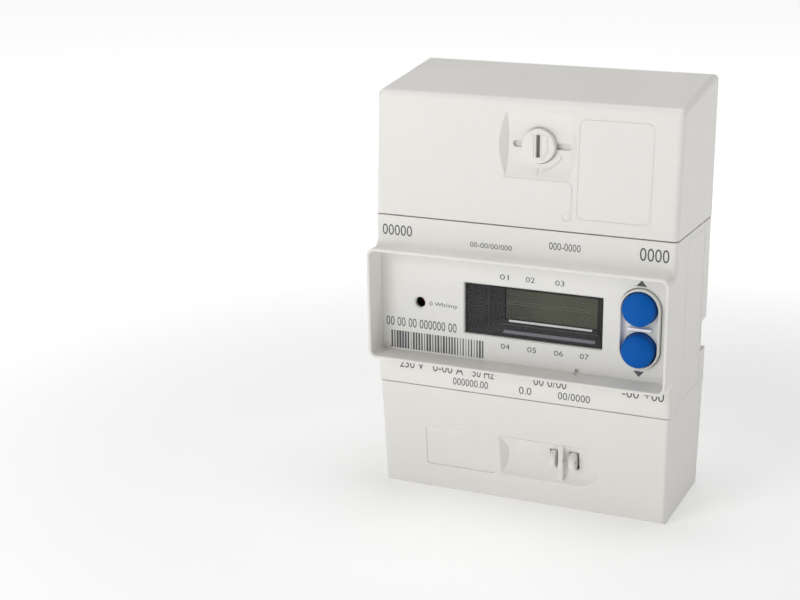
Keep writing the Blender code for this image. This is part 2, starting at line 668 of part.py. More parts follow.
def make_buttons():
    """Two domed push buttons, each with a flange behind the surround and a stem to its switch."""
    flange_front = button_flange_front()
    flange_back = flange_front + BUTTON_FLANGE_THICKNESS
    tip = -BUTTON_PROUD
    sphere = (BUTTON_RADIUS ** 2 + BUTTON_CROWN ** 2) / (2 * BUTTON_CROWN)
    edge_angle = math.asin(BUTTON_RADIUS / sphere)
    dome = [(sphere * math.sin(edge_angle * step / 5), tip + sphere * (1 - math.cos(edge_angle * step / 5)))
            for step in range(6)]
    stem_end = MAIN_BOARD_DEPTH - GAP - switch_height() - GAP - BUTTON_TRAVEL
    body = [(BUTTON_RADIUS, flange_front), (BUTTON_RADIUS + BUTTON_FLANGE, flange_front),
            (BUTTON_RADIUS + BUTTON_FLANGE, flange_back), (BUTTON_STEM_RADIUS, flange_back),
            (BUTTON_STEM_RADIUS, stem_end), (0.0, stem_end)]
    for label, z in button_places():
        turned(f"button_{label}", dome + body, (BUTTON_X, 0.0, z), "depth", "button_blue")


def switch_height():
    """Height of a switch from the display board's face to its plunger's tip."""
    return (MAIN_BOARD_DEPTH - button_flange_front() - BUTTON_FLANGE_THICKNESS - BUTTON_TRAVEL) * 0.55


def make_switches():
    """Tactile switches on the display board, one behind each button."""
    back = MAIN_BOARD_DEPTH - GAP
    for label, z in button_places():
        case = block(f"switch_{label}", span(BUTTON_X, SWITCH_SIZE),
                     (back - switch_height() + SWITCH_PLUNGER, back), span(z, SWITCH_SIZE), "component_black")
        join(case, rod(f"switch_plunger_{label}", (BUTTON_X, back - switch_height(), z),
                       SWITCH_PLUNGER + 0.5, BUTTON_STEM_RADIUS - GAP, "depth", segments=16))


# ---------------------------------------------------------------- circuit boards


def make_boards():
    """Display board on the cover's posts, supply board on the rear shell's, and what they carry."""
    board_half = HALF_WIDTH - MAIN_BOARD_INSET
    main = block("main_board", (-board_half, board_half), (MAIN_BOARD_DEPTH, MAIN_BOARD_BACK),
                 (OPENING_BOTTOM - MAIN_BOARD_INSET, OPENING_TOP + MAIN_BOARD_INSET), "board_green")
    for index, (x, z) in enumerate(main_board_screw_places()):
        cut(main, rod(f"main_board_bore_{index}", (x, MAIN_BOARD_DEPTH - 1.0, z), BOARD_THICKNESS + 2.0,
                      SCREW_BORE, "depth", segments=12))
        board_screw(f"board_screw_{index + 1}", x, z, MAIN_BOARD_BACK + GAP)
    supply_half = HALF_WIDTH - NOTCH_INSET - WALL - GAP
    supply = block("power_board", (-supply_half, supply_half), (POWER_BOARD_FRONT, POWER_BOARD_BACK),
                   (BAR_TOP + SHUNT_HEIGHT + GAP, MIDDLE_TOP - WALL - GAP), "board_green")
    for index, (x, z) in enumerate(power_board_screw_places()):
        cut(supply, rod(f"power_board_bore_{index}", (x, POWER_BOARD_FRONT - 1.0, z),
                        BOARD_THICKNESS + 2.0, SCREW_BORE, "depth", segments=12))
        screw(f"power_board_screw_{index + 1}", x, z, POWER_BOARD_FRONT - GAP,
              BOARD_THICKNESS + POWER_BOARD_STANDOFF - GAP, SCREW_HEAD, SCREW_SHANK, segments=12)
    make_components()


def board_screw(name, x, z, seat):
    """A screw driven forwards into the cover's post: its head lies behind the seat depth."""
    head_radius, head_height = SCREW_HEAD
    length = MAIN_BOARD_BACK - LEDGE_BACK - 2 * GAP
    profile = [(0.0, -length), (SCREW_SHANK, -length), (SCREW_SHANK, 0.0), (head_radius, 0.0),
               (head_radius, head_height), (0.0, head_height)]
    return turned(name, profile, (x, seat, z), "depth", "plated_steel", 12)


def make_components():
    """Supply transformer, capacitor, switching relay and the header that links both boards."""
    face = POWER_BOARD_FRONT - GAP
    top = power_board_screw_places()[0][1] - POST_RADIUS - SCREW_HEAD[0]
    width, depth, height = TRANSFORMER_SIZE
    centre = -HALF_WIDTH / 2
    transformer = block("supply_transformer", span(centre, width), (face - depth, face),
                        (top - height, top), "component_yellow", radius=1.0)
    winding = (face - depth - 1.0, face - depth * 0.7)
    cut(transformer,
        block("transformer_step_low", span(centre, width * 0.7), winding,
              (top - height - 1.0, top - height * 0.8)),
        block("transformer_step_high", span(centre, width * 0.7), winding,
              (top - height * 0.2, top + 1.0)))
    rod("supply_capacitor", (0.0, face - CAPACITOR_LENGTH, top - CAPACITOR_RADIUS), CAPACITOR_LENGTH,
        CAPACITOR_RADIUS, "depth", "component_black")
    width, depth, height = RELAY_SIZE
    block("control_relay", span(HALF_WIDTH / 2, width), (face - depth, face), (top - height, top),
          "component_black", radius=0.8)
    width, height = HEADER_SIZE
    block("board_link_header", span(0.0, width), (MAIN_BOARD_BACK + GAP, face),
          (top - 3 * CAPACITOR_RADIUS - height, top - 3 * CAPACITOR_RADIUS), "component_black")


# ---------------------------------------------------------------- lower terminals


def terminal_places():
    """x of each lower terminal, from left to right."""
    first = -TERMINAL_PITCH * (TERMINAL_COUNT - 1) / 2
    return [first + TERMINAL_PITCH * index for index in range(TERMINAL_COUNT)]


def make_terminal_block():
    """Insulating block with a clamp chamber, a wire way and a screw way for each terminal."""
    half = TERMINAL_PITCH * (TERMINAL_COUNT - 1) / 2 + BLOCK_MARGIN
    housing = block("terminal_block", (-half, half), (BLOCK_FRONT, BLOCK_BACK), (BLOCK_BOTTOM, BLOCK_TOP),
                    "terminal_plastic", radius=1.0, axis=2, segments=2)
    width, depth, height = CAGE_SIZE
    chamber_depth = (CAGE_FRONT - CAGE_TRAVEL - GAP, CAGE_FRONT + depth + GAP)
    for index, x in enumerate(terminal_places()):
        cut(housing,
            block(f"clamp_chamber_{index}", span(x, width + 2 * GAP), chamber_depth,
                  (BLOCK_BOTTOM - 1.0, CLAMP_AXIS + height / 2 + GAP)),
            block(f"bar_way_{index}", span(x, BAR_WIDTH + 2 * GAP), (BAR_FRONT - GAP, BAR_BACK + GAP),
                  (CLAMP_AXIS, BLOCK_TOP + 1.0)),
            rod(f"shank_way_{index}", (x, BLOCK_FRONT + 1.0, CLAMP_AXIS), chamber_depth[0] - BLOCK_FRONT,
                TERMINAL_SCREW_SHANK + GAP, "depth", segments=20),
            rod(f"head_way_{index}", (x, BLOCK_FRONT - 1.0, CLAMP_AXIS), HEAD_BACK + GAP - BLOCK_FRONT + 1.0,
                TERMINAL_SCREW_HEAD[0] + GAP, "depth", segments=20))
    return housing


def make_terminal_clamps():
    """For each terminal, a brass cage that the captive screw draws forward onto the bar."""
    width, depth, height = CAGE_SIZE
    for index, x in enumerate(terminal_places()):
        label = index + 1
        cage = block(f"terminal_cage_{label}", span(x, width), (CAGE_FRONT, CAGE_FRONT + depth),
                     span(CLAMP_AXIS, height), "brass", radius=0.8, axis=2, segments=2)
        cut(cage,
            block(f"cage_window_{label}", span(x, width - 2 * CAGE_WALL),
                  (CAGE_FRONT + CAGE_WALL, CAGE_FRONT + depth - CAGE_WALL), span(CLAMP_AXIS, height + 2.0)),
            rod(f"cage_thread_{label}", (x, CAGE_FRONT - 1.0, CLAMP_AXIS), CAGE_WALL + 2.0,
                TERMINAL_SCREW_SHANK + GAP, "depth", segments=20))
        screw(f"terminal_screw_{label}", x, CLAMP_AXIS, HEAD_BACK, BAR_FRONT - GAP - HEAD_BACK,
              TERMINAL_SCREW_HEAD, TERMINAL_SCREW_SHANK, segments=20)


def make_bars():
    """Phase bars with the measuring shunt between them, and the looped neutral bar."""
    places = terminal_places()
    depth = (BAR_FRONT, BAR_BACK)
    foot = CLAMP_AXIS - CAGE_SIZE[2] / 2 + GAP
    block("phase_bar_in", span(places[0], BAR_WIDTH), depth, (foot, BAR_TOP), "copper")
    block("phase_bar_out", span(places[1], BAR_WIDTH), depth, (foot, BAR_TOP), "copper")
    block("current_shunt", (places[0] - BAR_WIDTH / 2, places[1] + BAR_WIDTH / 2), depth,
          (BAR_TOP + GAP, BAR_TOP + SHUNT_HEIGHT), "plated_steel")
    neutral = block("neutral_bar", span(places[2], BAR_WIDTH), depth, (foot, BAR_TOP + SHUNT_HEIGHT),
                    "copper")
    join(neutral,
         block("neutral_right_leg", span(places[3], BAR_WIDTH), depth, (foot, BAR_TOP + SHUNT_HEIGHT)),
         block("neutral_bridge", (places[2], places[3]), depth, (BAR_TOP, BAR_TOP + SHUNT_HEIGHT)))


# ---------------------------------------------------------------- upper compartment


def make_aux_terminal_block():
    """Row of push-in terminals for the signal wires, under the upper cover."""
    width, depth, height = AUX_BLOCK_SIZE
    bottom = UPPER_SEAM + WALL + GAP
    front = PLATE_FRONT - GAP - depth
    housing = block("aux_terminal_block", span(AUX_BLOCK_X, width), (front, PLATE_FRONT - GAP),
                    (bottom, bottom + height), "terminal_plastic", radius=0.8, axis=2, segments=2)
    pitch = width / AUX_WAYS
    for index in range(AUX_WAYS):
        x = AUX_BLOCK_X + pitch * (index - (AUX_WAYS - 1) / 2)
        cut(housing,
            rod(f"aux_wire_way_{index}", (x, front - 1.0, bottom + height * 0.35), depth / 2,
                AUX_HOLE_RADIUS, "depth", segments=12),
            block(f"aux_release_{index}", span(x, 2 * AUX_HOLE_RADIUS), (front - 1.0, front + depth / 4),
                  span(bottom + height * 0.75, AUX_HOLE_RADIUS)))
    return housing


def make_upper_cover():
    """Upper cover: a leaning shell with a scooped hollow for the quarter-turn fastener."""
    def outer(right, back, top):
        side = HALF_WIDTH if right else -HALF_WIDTH
        depth = BODY_DEPTH if back else (COVER_LEAN if top else 0.0)
        if not top:
            return (side, depth, UPPER_SEAM + SEAM / 2)
        return (side, depth, TOP_BACK if back else TOP_FRONT)

    cover = shaped_block("upper_cover", outer, "housing_plastic", EDGE_RADIUS,
                         lambda x, y, z: z > 0 or (z == 0 and y < 0))
    past = 1.0

    def inner(right, back, top):
        side = HALF_WIDTH - WALL
        rise = TOP_RISE * past / BODY_DEPTH
        depth = BODY_DEPTH + past if back else WALL + (COVER_LEAN if top else 0.0)
        if not top:
            return (side if right else -side, depth, UPPER_SEAM - past)
        return (side if right else -side, depth, (TOP_BACK + rise if back else TOP_FRONT) - WALL)

    cut(cover, shaped_block("upper_hollow", inner))
    lean = front_depth(KNOB_Z)
    backing = (lean + WALL / 2, lean + SCOOP_DEPTH + WALL)
    join(cover, block("scoop_backing", (SCOOP_X[0] - SCOOP_DEPTH - WALL, SCOOP_X[1] + SCOOP_DEPTH + WALL),
                      backing, span(KNOB_Z, SCOOP_HEIGHT + WALL)))
    chord = SCOOP_HEIGHT / 2
    radius = (chord ** 2 + SCOOP_DEPTH ** 2) / (2 * SCOOP_DEPTH)
    low, high = SCOOP_X
    slope = SCOOP_DEPTH * 1.3
    profile = [(0.0, low - slope), (radius - slope, low - slope), (radius, low), (radius, high),
               (radius - slope, high + slope), (0.0, high + slope)]
    tilt = math.atan2(COVER_LEAN, UPPER_HEIGHT)
    floor = lean + SCOOP_DEPTH
    scoop = turned("scoop_tool", profile, (0.0, floor - radius, KNOB_Z + radius * math.sin(tilt)), "x",
                   steps=96)
    cut(cover, scoop,
        rod("knob_pocket", (KNOB_X, lean - SCOOP_DEPTH, KNOB_Z), 2 * SCOOP_DEPTH, KNOB_RADIUS + GAP,
            "depth", segments=32),
        rod("knob_bore", (KNOB_X, floor - 1.0, KNOB_Z), WALL + 2.0, KNOB_NECK + GAP, "depth"),
        block("knob_groove", GROOVE_X, (floor - 2 * GROOVE_DEPTH, floor + GROOVE_DEPTH),
              span(KNOB_Z, GROOVE_HEIGHT), radius=GROOVE_HEIGHT * 0.45))
    return cover


def make_knob():
    """Quarter-turn knob, its retaining clip, the latch cam behind it and the cam's screw."""
    lean = front_depth(KNOB_Z)
    floor = lean + SCOOP_DEPTH
    head_back = floor - GAP
    backing_back = floor + WALL
    clip_back = backing_back + GAP + CLIP_THICKNESS
    cam_front = clip_back + 2 * GAP + LIP_THICKNESS + GAP
    neck_end = cam_front - GAP
    cam_width, cam_thickness, cam_length = CAM_SIZE
    cam_back = cam_front + cam_thickness
    screw_length = neck_end - floor + GAP
    bore_end = neck_end - screw_length + GAP
    head_front = head_back - KNOB_HEAD
    chamfer = 0.5
    knob = turned("cover_knob", [(0.0, head_front), (KNOB_RADIUS - chamfer, head_front),
                                 (KNOB_RADIUS, head_front + chamfer), (KNOB_RADIUS, head_back),
                                 (KNOB_NECK, head_back), (KNOB_NECK, neck_end), (SCREW_BORE, neck_end),
                                 (SCREW_BORE, bore_end), (0.0, bore_end)],
                  (KNOB_X, 0.0, KNOB_Z), "depth", "housing_plastic")
    width, height, depth = KNOB_SLOT
    cut(knob, block("knob_slot", span(KNOB_X, width), (head_front - 1.0, head_front + depth),
                    span(KNOB_Z, height), radius=width * 0.45))
    turned("knob_clip", [(KNOB_NECK + GAP, 0.0), (CLIP_RADIUS, 0.0), (CLIP_RADIUS, CLIP_THICKNESS),
                         (KNOB_NECK + GAP, CLIP_THICKNESS), (KNOB_NECK + GAP, 0.0)],
           (KNOB_X, backing_back + GAP, KNOB_Z), "depth", "plated_steel")
    cam = block("latch_cam", span(KNOB_X, cam_width), (cam_front, cam_back), span(KNOB_Z, cam_length),
                "plated_steel", radius=cam_width * 0.4)
    cut(cam, rod("cam_bore", (KNOB_X, cam_front - 1.0, KNOB_Z), cam_thickness + 2.0, SCREW_BORE, "depth",
                 segments=12))
    head_radius, head_height = SCREW_HEAD
    tip = -screw_length - cam_thickness + 2 * GAP
    turned("cam_screw", [(0.0, tip), (SCREW_SHANK, tip), (SCREW_SHANK, 0.0), (head_radius, 0.0),
                         (head_radius, head_height), (0.0, head_height)],
           (KNOB_X, cam_back + GAP, KNOB_Z), "depth", "plated_steel", 12)
    make_keeper(clip_back + 2 * GAP)


def make_keeper(lip_front):
    """Fork on the rear shell whose two lips the turned cam catches behind."""
    reach = CAM_SIZE[2] / 2 + 2 * GAP
    back = PLATE_FRONT - GAP
    keeper = block("latch_keeper", span(KNOB_X, 2 * (reach + KEEPER_ARM)), (lip_front, back),
                   span(KNOB_Z, KEEPER_HEIGHT), "terminal_plastic")
    through = span(KNOB_Z, KEEPER_HEIGHT + 2.0)
    cut(keeper,
        block("keeper_inside", span(KNOB_X, 2 * reach), (lip_front + LIP_THICKNESS, back - KEEPER_ARM),
              through),
        block("keeper_mouth", span(KNOB_X, 2 * KEEPER_OPENING),
              (lip_front - 1.0, lip_front + LIP_THICKNESS + 1.0), through))


# ---------------------------------------------------------------- lower cover


def wire_depth():
    """Depth of the sealing wire's hole through the rib and both ears."""
    return front_depth(SEAL_EAR_Z) + WIRE_HOLE_RADIUS + GAP


def make_lower_cover():
    """Lower cover: a tapering shell with the sealing recess and the cable slot in its floor."""
    top_half = HALF_WIDTH - LOWER_INSET
    top = LOWER_HEIGHT - SEAM / 2

    def outer(right, back, high):
        side = top_half if high else top_half - LOWER_TAPER
        depth = BODY_DEPTH if back else (LOWER_INSET if high else COVER_LEAN)
        return (side if right else -side, depth, top if high else 0.0)

    cover = shaped_block("lower_cover", outer, "housing_plastic", BODY_EDGE_RADIUS,
                         lambda x, y, z: (z == 0 and y < 0) or (z < 0 and y < 0))

    def inner(right, back, high):
        side = (top_half if high else top_half - LOWER_TAPER) - WALL
        depth = BODY_DEPTH + 1.0 if back else (LOWER_INSET if high else COVER_LEAN) + WALL
        return (side if right else -side, depth, top + 1.0 if high else WALL)

    cut(cover, shaped_block("lower_hollow", inner))
    lean = front_depth(SEAL_AXIS_Z)
    floor = lean + SCOOP_DEPTH
    chord = SEAL_RECESS_HEIGHT / 2
    radius = (chord ** 2 + SCOOP_DEPTH ** 2) / (2 * SCOOP_DEPTH)
    left, centre = SEAL_RECESS_X
    join(cover, block("seal_backing", (left - WALL, centre + chord + WALL), (lean + WALL / 2, floor + WALL),
                      span(SEAL_AXIS_Z, SEAL_RECESS_HEIGHT + WALL)))
    cap = [(radius * math.cos(math.radians(angle)), centre + radius * math.sin(math.radians(angle)))
           for angle in range(0, 91, 10)]
    slope = SCOOP_DEPTH * 1.3
    profile = [(0.0, left + SCOOP_DEPTH - slope), (radius - slope, left + SCOOP_DEPTH - slope),
               (radius, left + SCOOP_DEPTH)] + cap[:-1] + [(0.0, centre + radius)]
    tool = turned("seal_scoop", profile, (0.0, floor - radius, SEAL_AXIS_Z), "x", steps=72)
    cut(cover, tool)
    rib_top = SEAL_AXIS_Z + chord
    join(cover, block("seal_rib", SEAL_RIB_X, (front_depth(rib_top), floor + GAP),
                      (rib_top - SEAL_RIB_HEIGHT, rib_top + GAP)))
    for index, x in enumerate(SEAL_EAR_X):
        cut(cover, block(f"ear_slot_{index}", (x - EAR_SLOT_MARGIN, x + SEAL_EAR_THICKNESS + EAR_SLOT_MARGIN),
                         (lean - 1.0, floor + WALL + 1.0), span(SEAL_EAR_Z, 2 * (SEAL_EAR_RADIUS + GAP))))
    cut(cover, rod("rib_wire_hole", (SEAL_RIB_X[0] - GAP, wire_depth(), SEAL_EAR_Z),
                   SEAL_RIB_X[1] - SEAL_RIB_X[0] + 2 * GAP, WIRE_HOLE_RADIUS, "x", segments=12))
    slot_width, slot_depth = CABLE_SLOT
    slot_back = BODY_DEPTH - CABLE_SLOT_REAR
    cut(cover, block("cable_slot", span(0.0, slot_width), (slot_back - slot_depth, slot_back),
                     (-1.0, WALL + 1.0), radius=2.0, axis=2))
    return cover


def make_seal_lug():
    """Two wire-sealed ears that pass through the lower cover from a plate on the terminal block."""
    plate_back = BLOCK_FRONT - GAP
    centre = SEAL_EAR_RADIUS - SEAL_EAR_PROUD
    lug = block("seal_lug", (SEAL_EAR_X[0] - GAP, SEAL_EAR_X[1] + SEAL_EAR_THICKNESS + GAP),
                (plate_back - 2.0, plate_back), span(SEAL_EAR_Z, 2 * SEAL_EAR_RADIUS + 1.0),
                "housing_plastic")
    for index, x in enumerate(SEAL_EAR_X):
        ear = (x, x + SEAL_EAR_THICKNESS)
        join(lug,
             rod(f"ear_disc_{index}", (x, centre, SEAL_EAR_Z), SEAL_EAR_THICKNESS, SEAL_EAR_RADIUS, "x"),
             block(f"ear_stem_{index}", ear, (centre, plate_back - 1.0),
                   span(SEAL_EAR_Z, SEAL_EAR_RADIUS * 1.6)))
    length = SEAL_EAR_X[1] - SEAL_EAR_X[0] + SEAL_EAR_THICKNESS + 2.0
    cut(lug, rod("ear_wire_hole", (SEAL_EAR_X[0] - 1.0, wire_depth(), SEAL_EAR_Z), length,
                 WIRE_HOLE_RADIUS, "x", segments=12))
    return lug


def main():
    """Build every part of the meter."""
    clear_scene()
    make_base_shell()
    make_main_cover()
    make_housing_screws()
    make_face_plate()
    make_display()
    make_pulse_lamp()
    make_button_surround()
    make_buttons()
    make_switches()
    make_boards()
    make_terminal_block()
    make_terminal_clamps()
    make_bars()
    make_aux_terminal_block()
    make_upper_cover()
    make_knob()
    make_lower_cover()
    make_seal_lug()
    bpy.context.view_layer.update()


main()
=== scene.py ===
"""Finished looks of the smart electric meter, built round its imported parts.

Lengths are in millimetres until a mesh is written, and z is the height over the meter's foot. A depth
is measured backwards from the front face of the middle housing, so the bezel stands at negative depths.
"""

import json
import logging
import math
from dataclasses import dataclass
from enum import Enum
from typing import Callable, Iterable, Optional, Sequence

import bmesh
import bpy
from mathutils import Matrix, Vector

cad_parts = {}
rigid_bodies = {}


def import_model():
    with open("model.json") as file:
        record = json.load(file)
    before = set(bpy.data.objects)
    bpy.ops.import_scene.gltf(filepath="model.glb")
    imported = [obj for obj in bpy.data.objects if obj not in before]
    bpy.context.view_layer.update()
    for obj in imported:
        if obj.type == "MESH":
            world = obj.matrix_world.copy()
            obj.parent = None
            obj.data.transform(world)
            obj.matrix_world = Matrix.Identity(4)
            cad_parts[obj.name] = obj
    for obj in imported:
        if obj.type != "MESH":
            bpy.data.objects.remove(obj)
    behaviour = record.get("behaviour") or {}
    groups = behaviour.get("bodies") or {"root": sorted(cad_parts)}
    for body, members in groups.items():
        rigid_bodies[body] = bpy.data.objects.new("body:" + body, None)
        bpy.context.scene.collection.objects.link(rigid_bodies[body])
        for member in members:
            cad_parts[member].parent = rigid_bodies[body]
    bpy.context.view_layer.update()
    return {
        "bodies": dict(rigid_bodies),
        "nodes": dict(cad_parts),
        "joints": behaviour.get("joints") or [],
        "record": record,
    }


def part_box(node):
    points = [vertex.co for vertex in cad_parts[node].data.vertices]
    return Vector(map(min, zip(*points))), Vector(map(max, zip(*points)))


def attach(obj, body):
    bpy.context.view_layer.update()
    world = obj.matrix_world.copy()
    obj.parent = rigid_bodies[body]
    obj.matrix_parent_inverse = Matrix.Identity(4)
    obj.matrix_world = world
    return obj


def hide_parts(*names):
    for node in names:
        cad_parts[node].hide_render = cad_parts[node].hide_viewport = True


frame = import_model()

MM = 0.001
SEAM = 0.5
GAP = 0.3
Point = tuple[float, float]
Section = tuple[Sequence[Point], float]
log = logging.getLogger("meter")


# ---------------------------------------------------------------- places


@dataclass(frozen=True)
class Span:
    """A stretch along one axis, in millimetres."""

    low: float
    high: float

    @property
    def middle(self) -> float:
        """The stretch's centre."""
        return (self.low + self.high) / 2

    @property
    def size(self) -> float:
        """The stretch's length."""
        return self.high - self.low

    def grown(self, by: float) -> "Span":
        """The stretch with both ends moved outwards."""
        return Span(self.low - by, self.high + by)

    @staticmethod
    def about(centre: float, size: float) -> "Span":
        """A stretch of a size round a centre."""
        return Span(centre - size / 2, centre + size / 2)


@dataclass(frozen=True)
class NodeBox:
    """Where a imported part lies."""

    x: Span
    depth: Span
    z: Span


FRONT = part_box("upper_cover")[0].y / MM


def node_box(name: str) -> NodeBox:
    """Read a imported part's limits.

    Args:
        name: The part's node name.
    Returns:
        Its limits across, backwards and upwards.
    """
    low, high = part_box(name)
    return NodeBox(Span(low.x / MM, high.x / MM), Span(low.y / MM - FRONT, high.y / MM - FRONT),
                   Span(low.z / MM, high.z / MM))


def middle_of(name: str) -> tuple[float, float]:
    """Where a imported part's middle lies, across and upwards."""
    box = node_box(name)
    return (box.x.middle, box.z.middle)


def at(x: float, depth: float, z: float) -> Vector:
    """The place in metres of a point in millimetres."""
    return Vector((x, FRONT + depth, z)) * MM


UPPER, LOWER, MIDDLE = node_box("upper_cover"), node_box("lower_cover"), node_box("main_cover")
FACE, WINDOW = node_box("face_plate"), node_box("display_window")
HALF_WIDTH = MIDDLE.x.high
LOWER_SEAM = LOWER.z.high + SEAM / 2
UPPER_SEAM = UPPER.z.low - SEAM / 2
MIDDLE_Z = Span(LOWER_SEAM + SEAM / 2, UPPER_SEAM - SEAM / 2)
WALL = 2.2
PLATE_TAPER = 0.9
PRINT_HEIGHT = 0.03
MERGE_REACH = 1e-7
SHARPEST = 0.02


# ---------------------------------------------------------------- outlines


def arc(centre: Point, radius: float, start: float, end: float, steps: int) -> list[Point]:
    """Points on an arc, both ends included, with angles in degrees."""
    turns = [math.radians(start + (end - start) * step / steps) for step in range(steps + 1)]
    return [(centre[0] + radius * math.cos(turn), centre[1] + radius * math.sin(turn)) for turn in turns]


def rounded(x: Span, z: Span, radius: float, inset: float = 0.0, steps: int = 6) -> list[Point]:
    """A rectangle with rounded corners, run anticlockwise.

    Args:
        x: Its width limits.
        z: Its height limits.
        radius: The corners' radius before the inset.
        inset: How far every side is drawn in.
        steps: Segments in each corner.
    Returns:
        The outline's points.
    """
    held = max(radius - inset, SHARPEST)
    left, right = x.low + inset + held, x.high - inset - held
    low, high = z.low + inset + held, z.high - inset - held
    corners = ((right, high, 0), (left, high, 90), (left, low, 180), (right, low, 270))
    return [point for cx, cz, turn in corners for point in arc((cx, cz), held, turn, turn + 90, steps)]


def slot_outline(x: float, z: float, centres: float, radius: float, inset: float = 0.0,
                 steps: int = 20) -> list[Point]:
    """An upright slot with round ends."""
    held = radius - inset
    return arc((x, z + centres / 2), held, 0, 180, steps) + arc((x, z - centres / 2), held, 180, 360, steps)


def ribbon(path: Sequence[Point], width: float) -> list[Point]:
    """The outline of a line of a given width drawn along an open path."""
    left, right = [], []
    for index, point in enumerate(path):
        before, after = path[max(index - 1, 0)], path[min(index + 1, len(path) - 1)]
        run = Vector((after[0] - before[0], after[1] - before[1])).normalized() * width / 2
        left.append((point[0] - run.y, point[1] + run.x))
        right.append((point[0] + run.y, point[1] - run.x))
    return right + left[::-1]


# ---------------------------------------------------------------- solids


class Axis(Enum):
    """The direction that an outline is drawn out along."""

    X = "x"
    DEPTH = "depth"
    Z = "z"

    def place(self, point: Point, along: float) -> Vector:
        """A point of an outline, in metres."""
        if self is Axis.X:
            return at(along, point[0], point[1])
        if self is Axis.DEPTH:
            return at(point[0], along, point[1])
        return at(point[0], point[1], along)


class Solid:
    """A closed body that is shaped step by step. Its mesh holds its place."""

    def __init__(self, name: str, shape: bmesh.types.BMesh) -> None:
        """Take over a bmesh as a new object."""
        mesh = bpy.data.meshes.new(name)
        bmesh.ops.remove_doubles(shape, verts=shape.verts, dist=MERGE_REACH)
        bmesh.ops.recalc_face_normals(shape, faces=shape.faces)
        shape.to_mesh(mesh)
        shape.free()
        self.item = bpy.data.objects.new(name, mesh)
        bpy.context.scene.collection.objects.link(self.item)

    @classmethod
    def loft(cls, name: str, sections: Sequence[Section], axis: Axis = Axis.DEPTH,
             ring: bool = False) -> "Solid":
        """Join outlines of equal length, one after the other.

        Args:
            name: The object's name.
            sections: Outlines, each with its place along the axis.
            axis: The direction of the places.
            ring: Whether the last outline meets the first, which leaves a hole in the middle.
        Returns:
            The closed body.
        """
        shape = bmesh.new()
        rows = [[shape.verts.new(axis.place(point, along)) for point in outline]
                for outline, along in sections]
        count = len(rows[0])
        pairs = list(zip(rows, rows[1:])) + ([(rows[-1], rows[0])] if ring else [])
        for row, after in pairs:
            for index in range(count):
                beside = (index + 1) % count
                shape.faces.new((row[index], row[beside], after[beside], after[index]))
        if not ring:
            shape.faces.new(rows[0])
            shape.faces.new(rows[-1])
        return cls(name, shape)

    @classmethod
    def prism(cls, name: str, outline: Sequence[Point], reach: Span, axis: Axis = Axis.DEPTH) -> "Solid":
        """An outline drawn straight out along an axis."""
        return cls.loft(name, ((outline, reach.low), (outline, reach.high)), axis)

    @classmethod
    def box(cls, name: str, x: Span, depth: Span, z: Span) -> "Solid":
        """A plain box, used for cuts and hidden webs."""
        outline = ((x.low, z.low), (x.high, z.low), (x.high, z.high), (x.low, z.high))
        return cls.prism(name, outline, depth)

    @classmethod
    def turned(cls, name: str, profile: Sequence[Point], centre: Vector, axis: Axis = Axis.DEPTH,
               steps: int = 64) -> "Solid":
        """Turn a profile of (radius, place) pairs round an axis.

        Args:
            name: The object's name.
            profile: The pairs, which start and end on the axis, or end as they start on a ring.
            centre: Where place 0 lies: x, depth and z.
            axis: The direction of the places.
            steps: Segments round the axis.
        Returns:
            The closed body.
        """
        shape = bmesh.new()
        ring = profile[0] == profile[-1]
        rows = []
        for radius, along in profile[:-1] if ring else profile:
            row = []
            for step in range(1 if radius == 0 else steps):
                turn = 2 * math.pi * step / steps
                across, up = radius * math.cos(turn), radius * math.sin(turn)
                if axis is Axis.DEPTH:
                    row.append(shape.verts.new(at(centre.x + across, centre.y + along, centre.z + up)))
                else:
                    row.append(shape.verts.new(at(centre.x + along, centre.y + across, centre.z + up)))
            rows.append(row)
        for row, after in list(zip(rows, rows[1:])) + ([(rows[-1], rows[0])] if ring else []):
            for step in range(steps):
                corners = (row[step % len(row)], row[(step + 1) % len(row)],
                           after[(step + 1) % len(after)], after[step % len(after)])
                shape.faces.new(list(dict.fromkeys(corners)))
        return cls(name, shape)

    @classmethod
    def rod(cls, name: str, radius: float, reach: Span, centre: Vector, axis: Axis = Axis.DEPTH,
            steps: int = 24) -> "Solid":
        """A plain round rod, used for bores and posts."""
        profile = [(0.0, reach.low), (radius, reach.low), (radius, reach.high), (0.0, reach.high)]
        return cls.turned(name, profile, centre, axis, steps)

    @classmethod
    def hexahedron(cls, name: str, corner: Callable[[bool, bool, bool], tuple[float, float, float]],
                   radius: float = 0.0, picked: Optional[Callable[[int, int, int], bool]] = None,
                   segments: int = 8) -> "Solid":
        """A six-sided body from its corners, with the picked edges rounded.

        Args:
            name: The object's name.
            corner: Gives a corner's x, depth and z from whether it is right, back and top.
            radius: The rounding of the picked edges.
            picked: Tells from an edge's side on each axis, 0 along its own axis, if it is rounded.
            segments: Steps in each rounding.
        Returns:
            The closed body.
        """
        shape = bmesh.new()
        bmesh.ops.create_cube(shape, size=2.0)
        edges = []
        for edge in shape.edges:
            side = (edge.verts[0].co + edge.verts[1].co) / 2
            if picked is not None and picked(*(round(share) for share in side)):
                edges.append(edge)
        for vert in shape.verts:
            vert.co = at(*corner(vert.co.x > 0, vert.co.y > 0, vert.co.z > 0))
        if edges:
            bmesh.ops.bevel(shape, geom=edges, offset=radius * MM, segments=segments, profile=0.5,
                            affect="EDGES", clamp_overlap=True)
        return cls(name, shape)

    def bent(self, depth_of: Callable[[float, float], float]) -> "Solid":
        """Shift every point backwards by a depth that depends on its x and z."""
        for vert in self.item.data.vertices:
            vert.co.y += depth_of(vert.co.x / MM, vert.co.z / MM) * MM
        return self

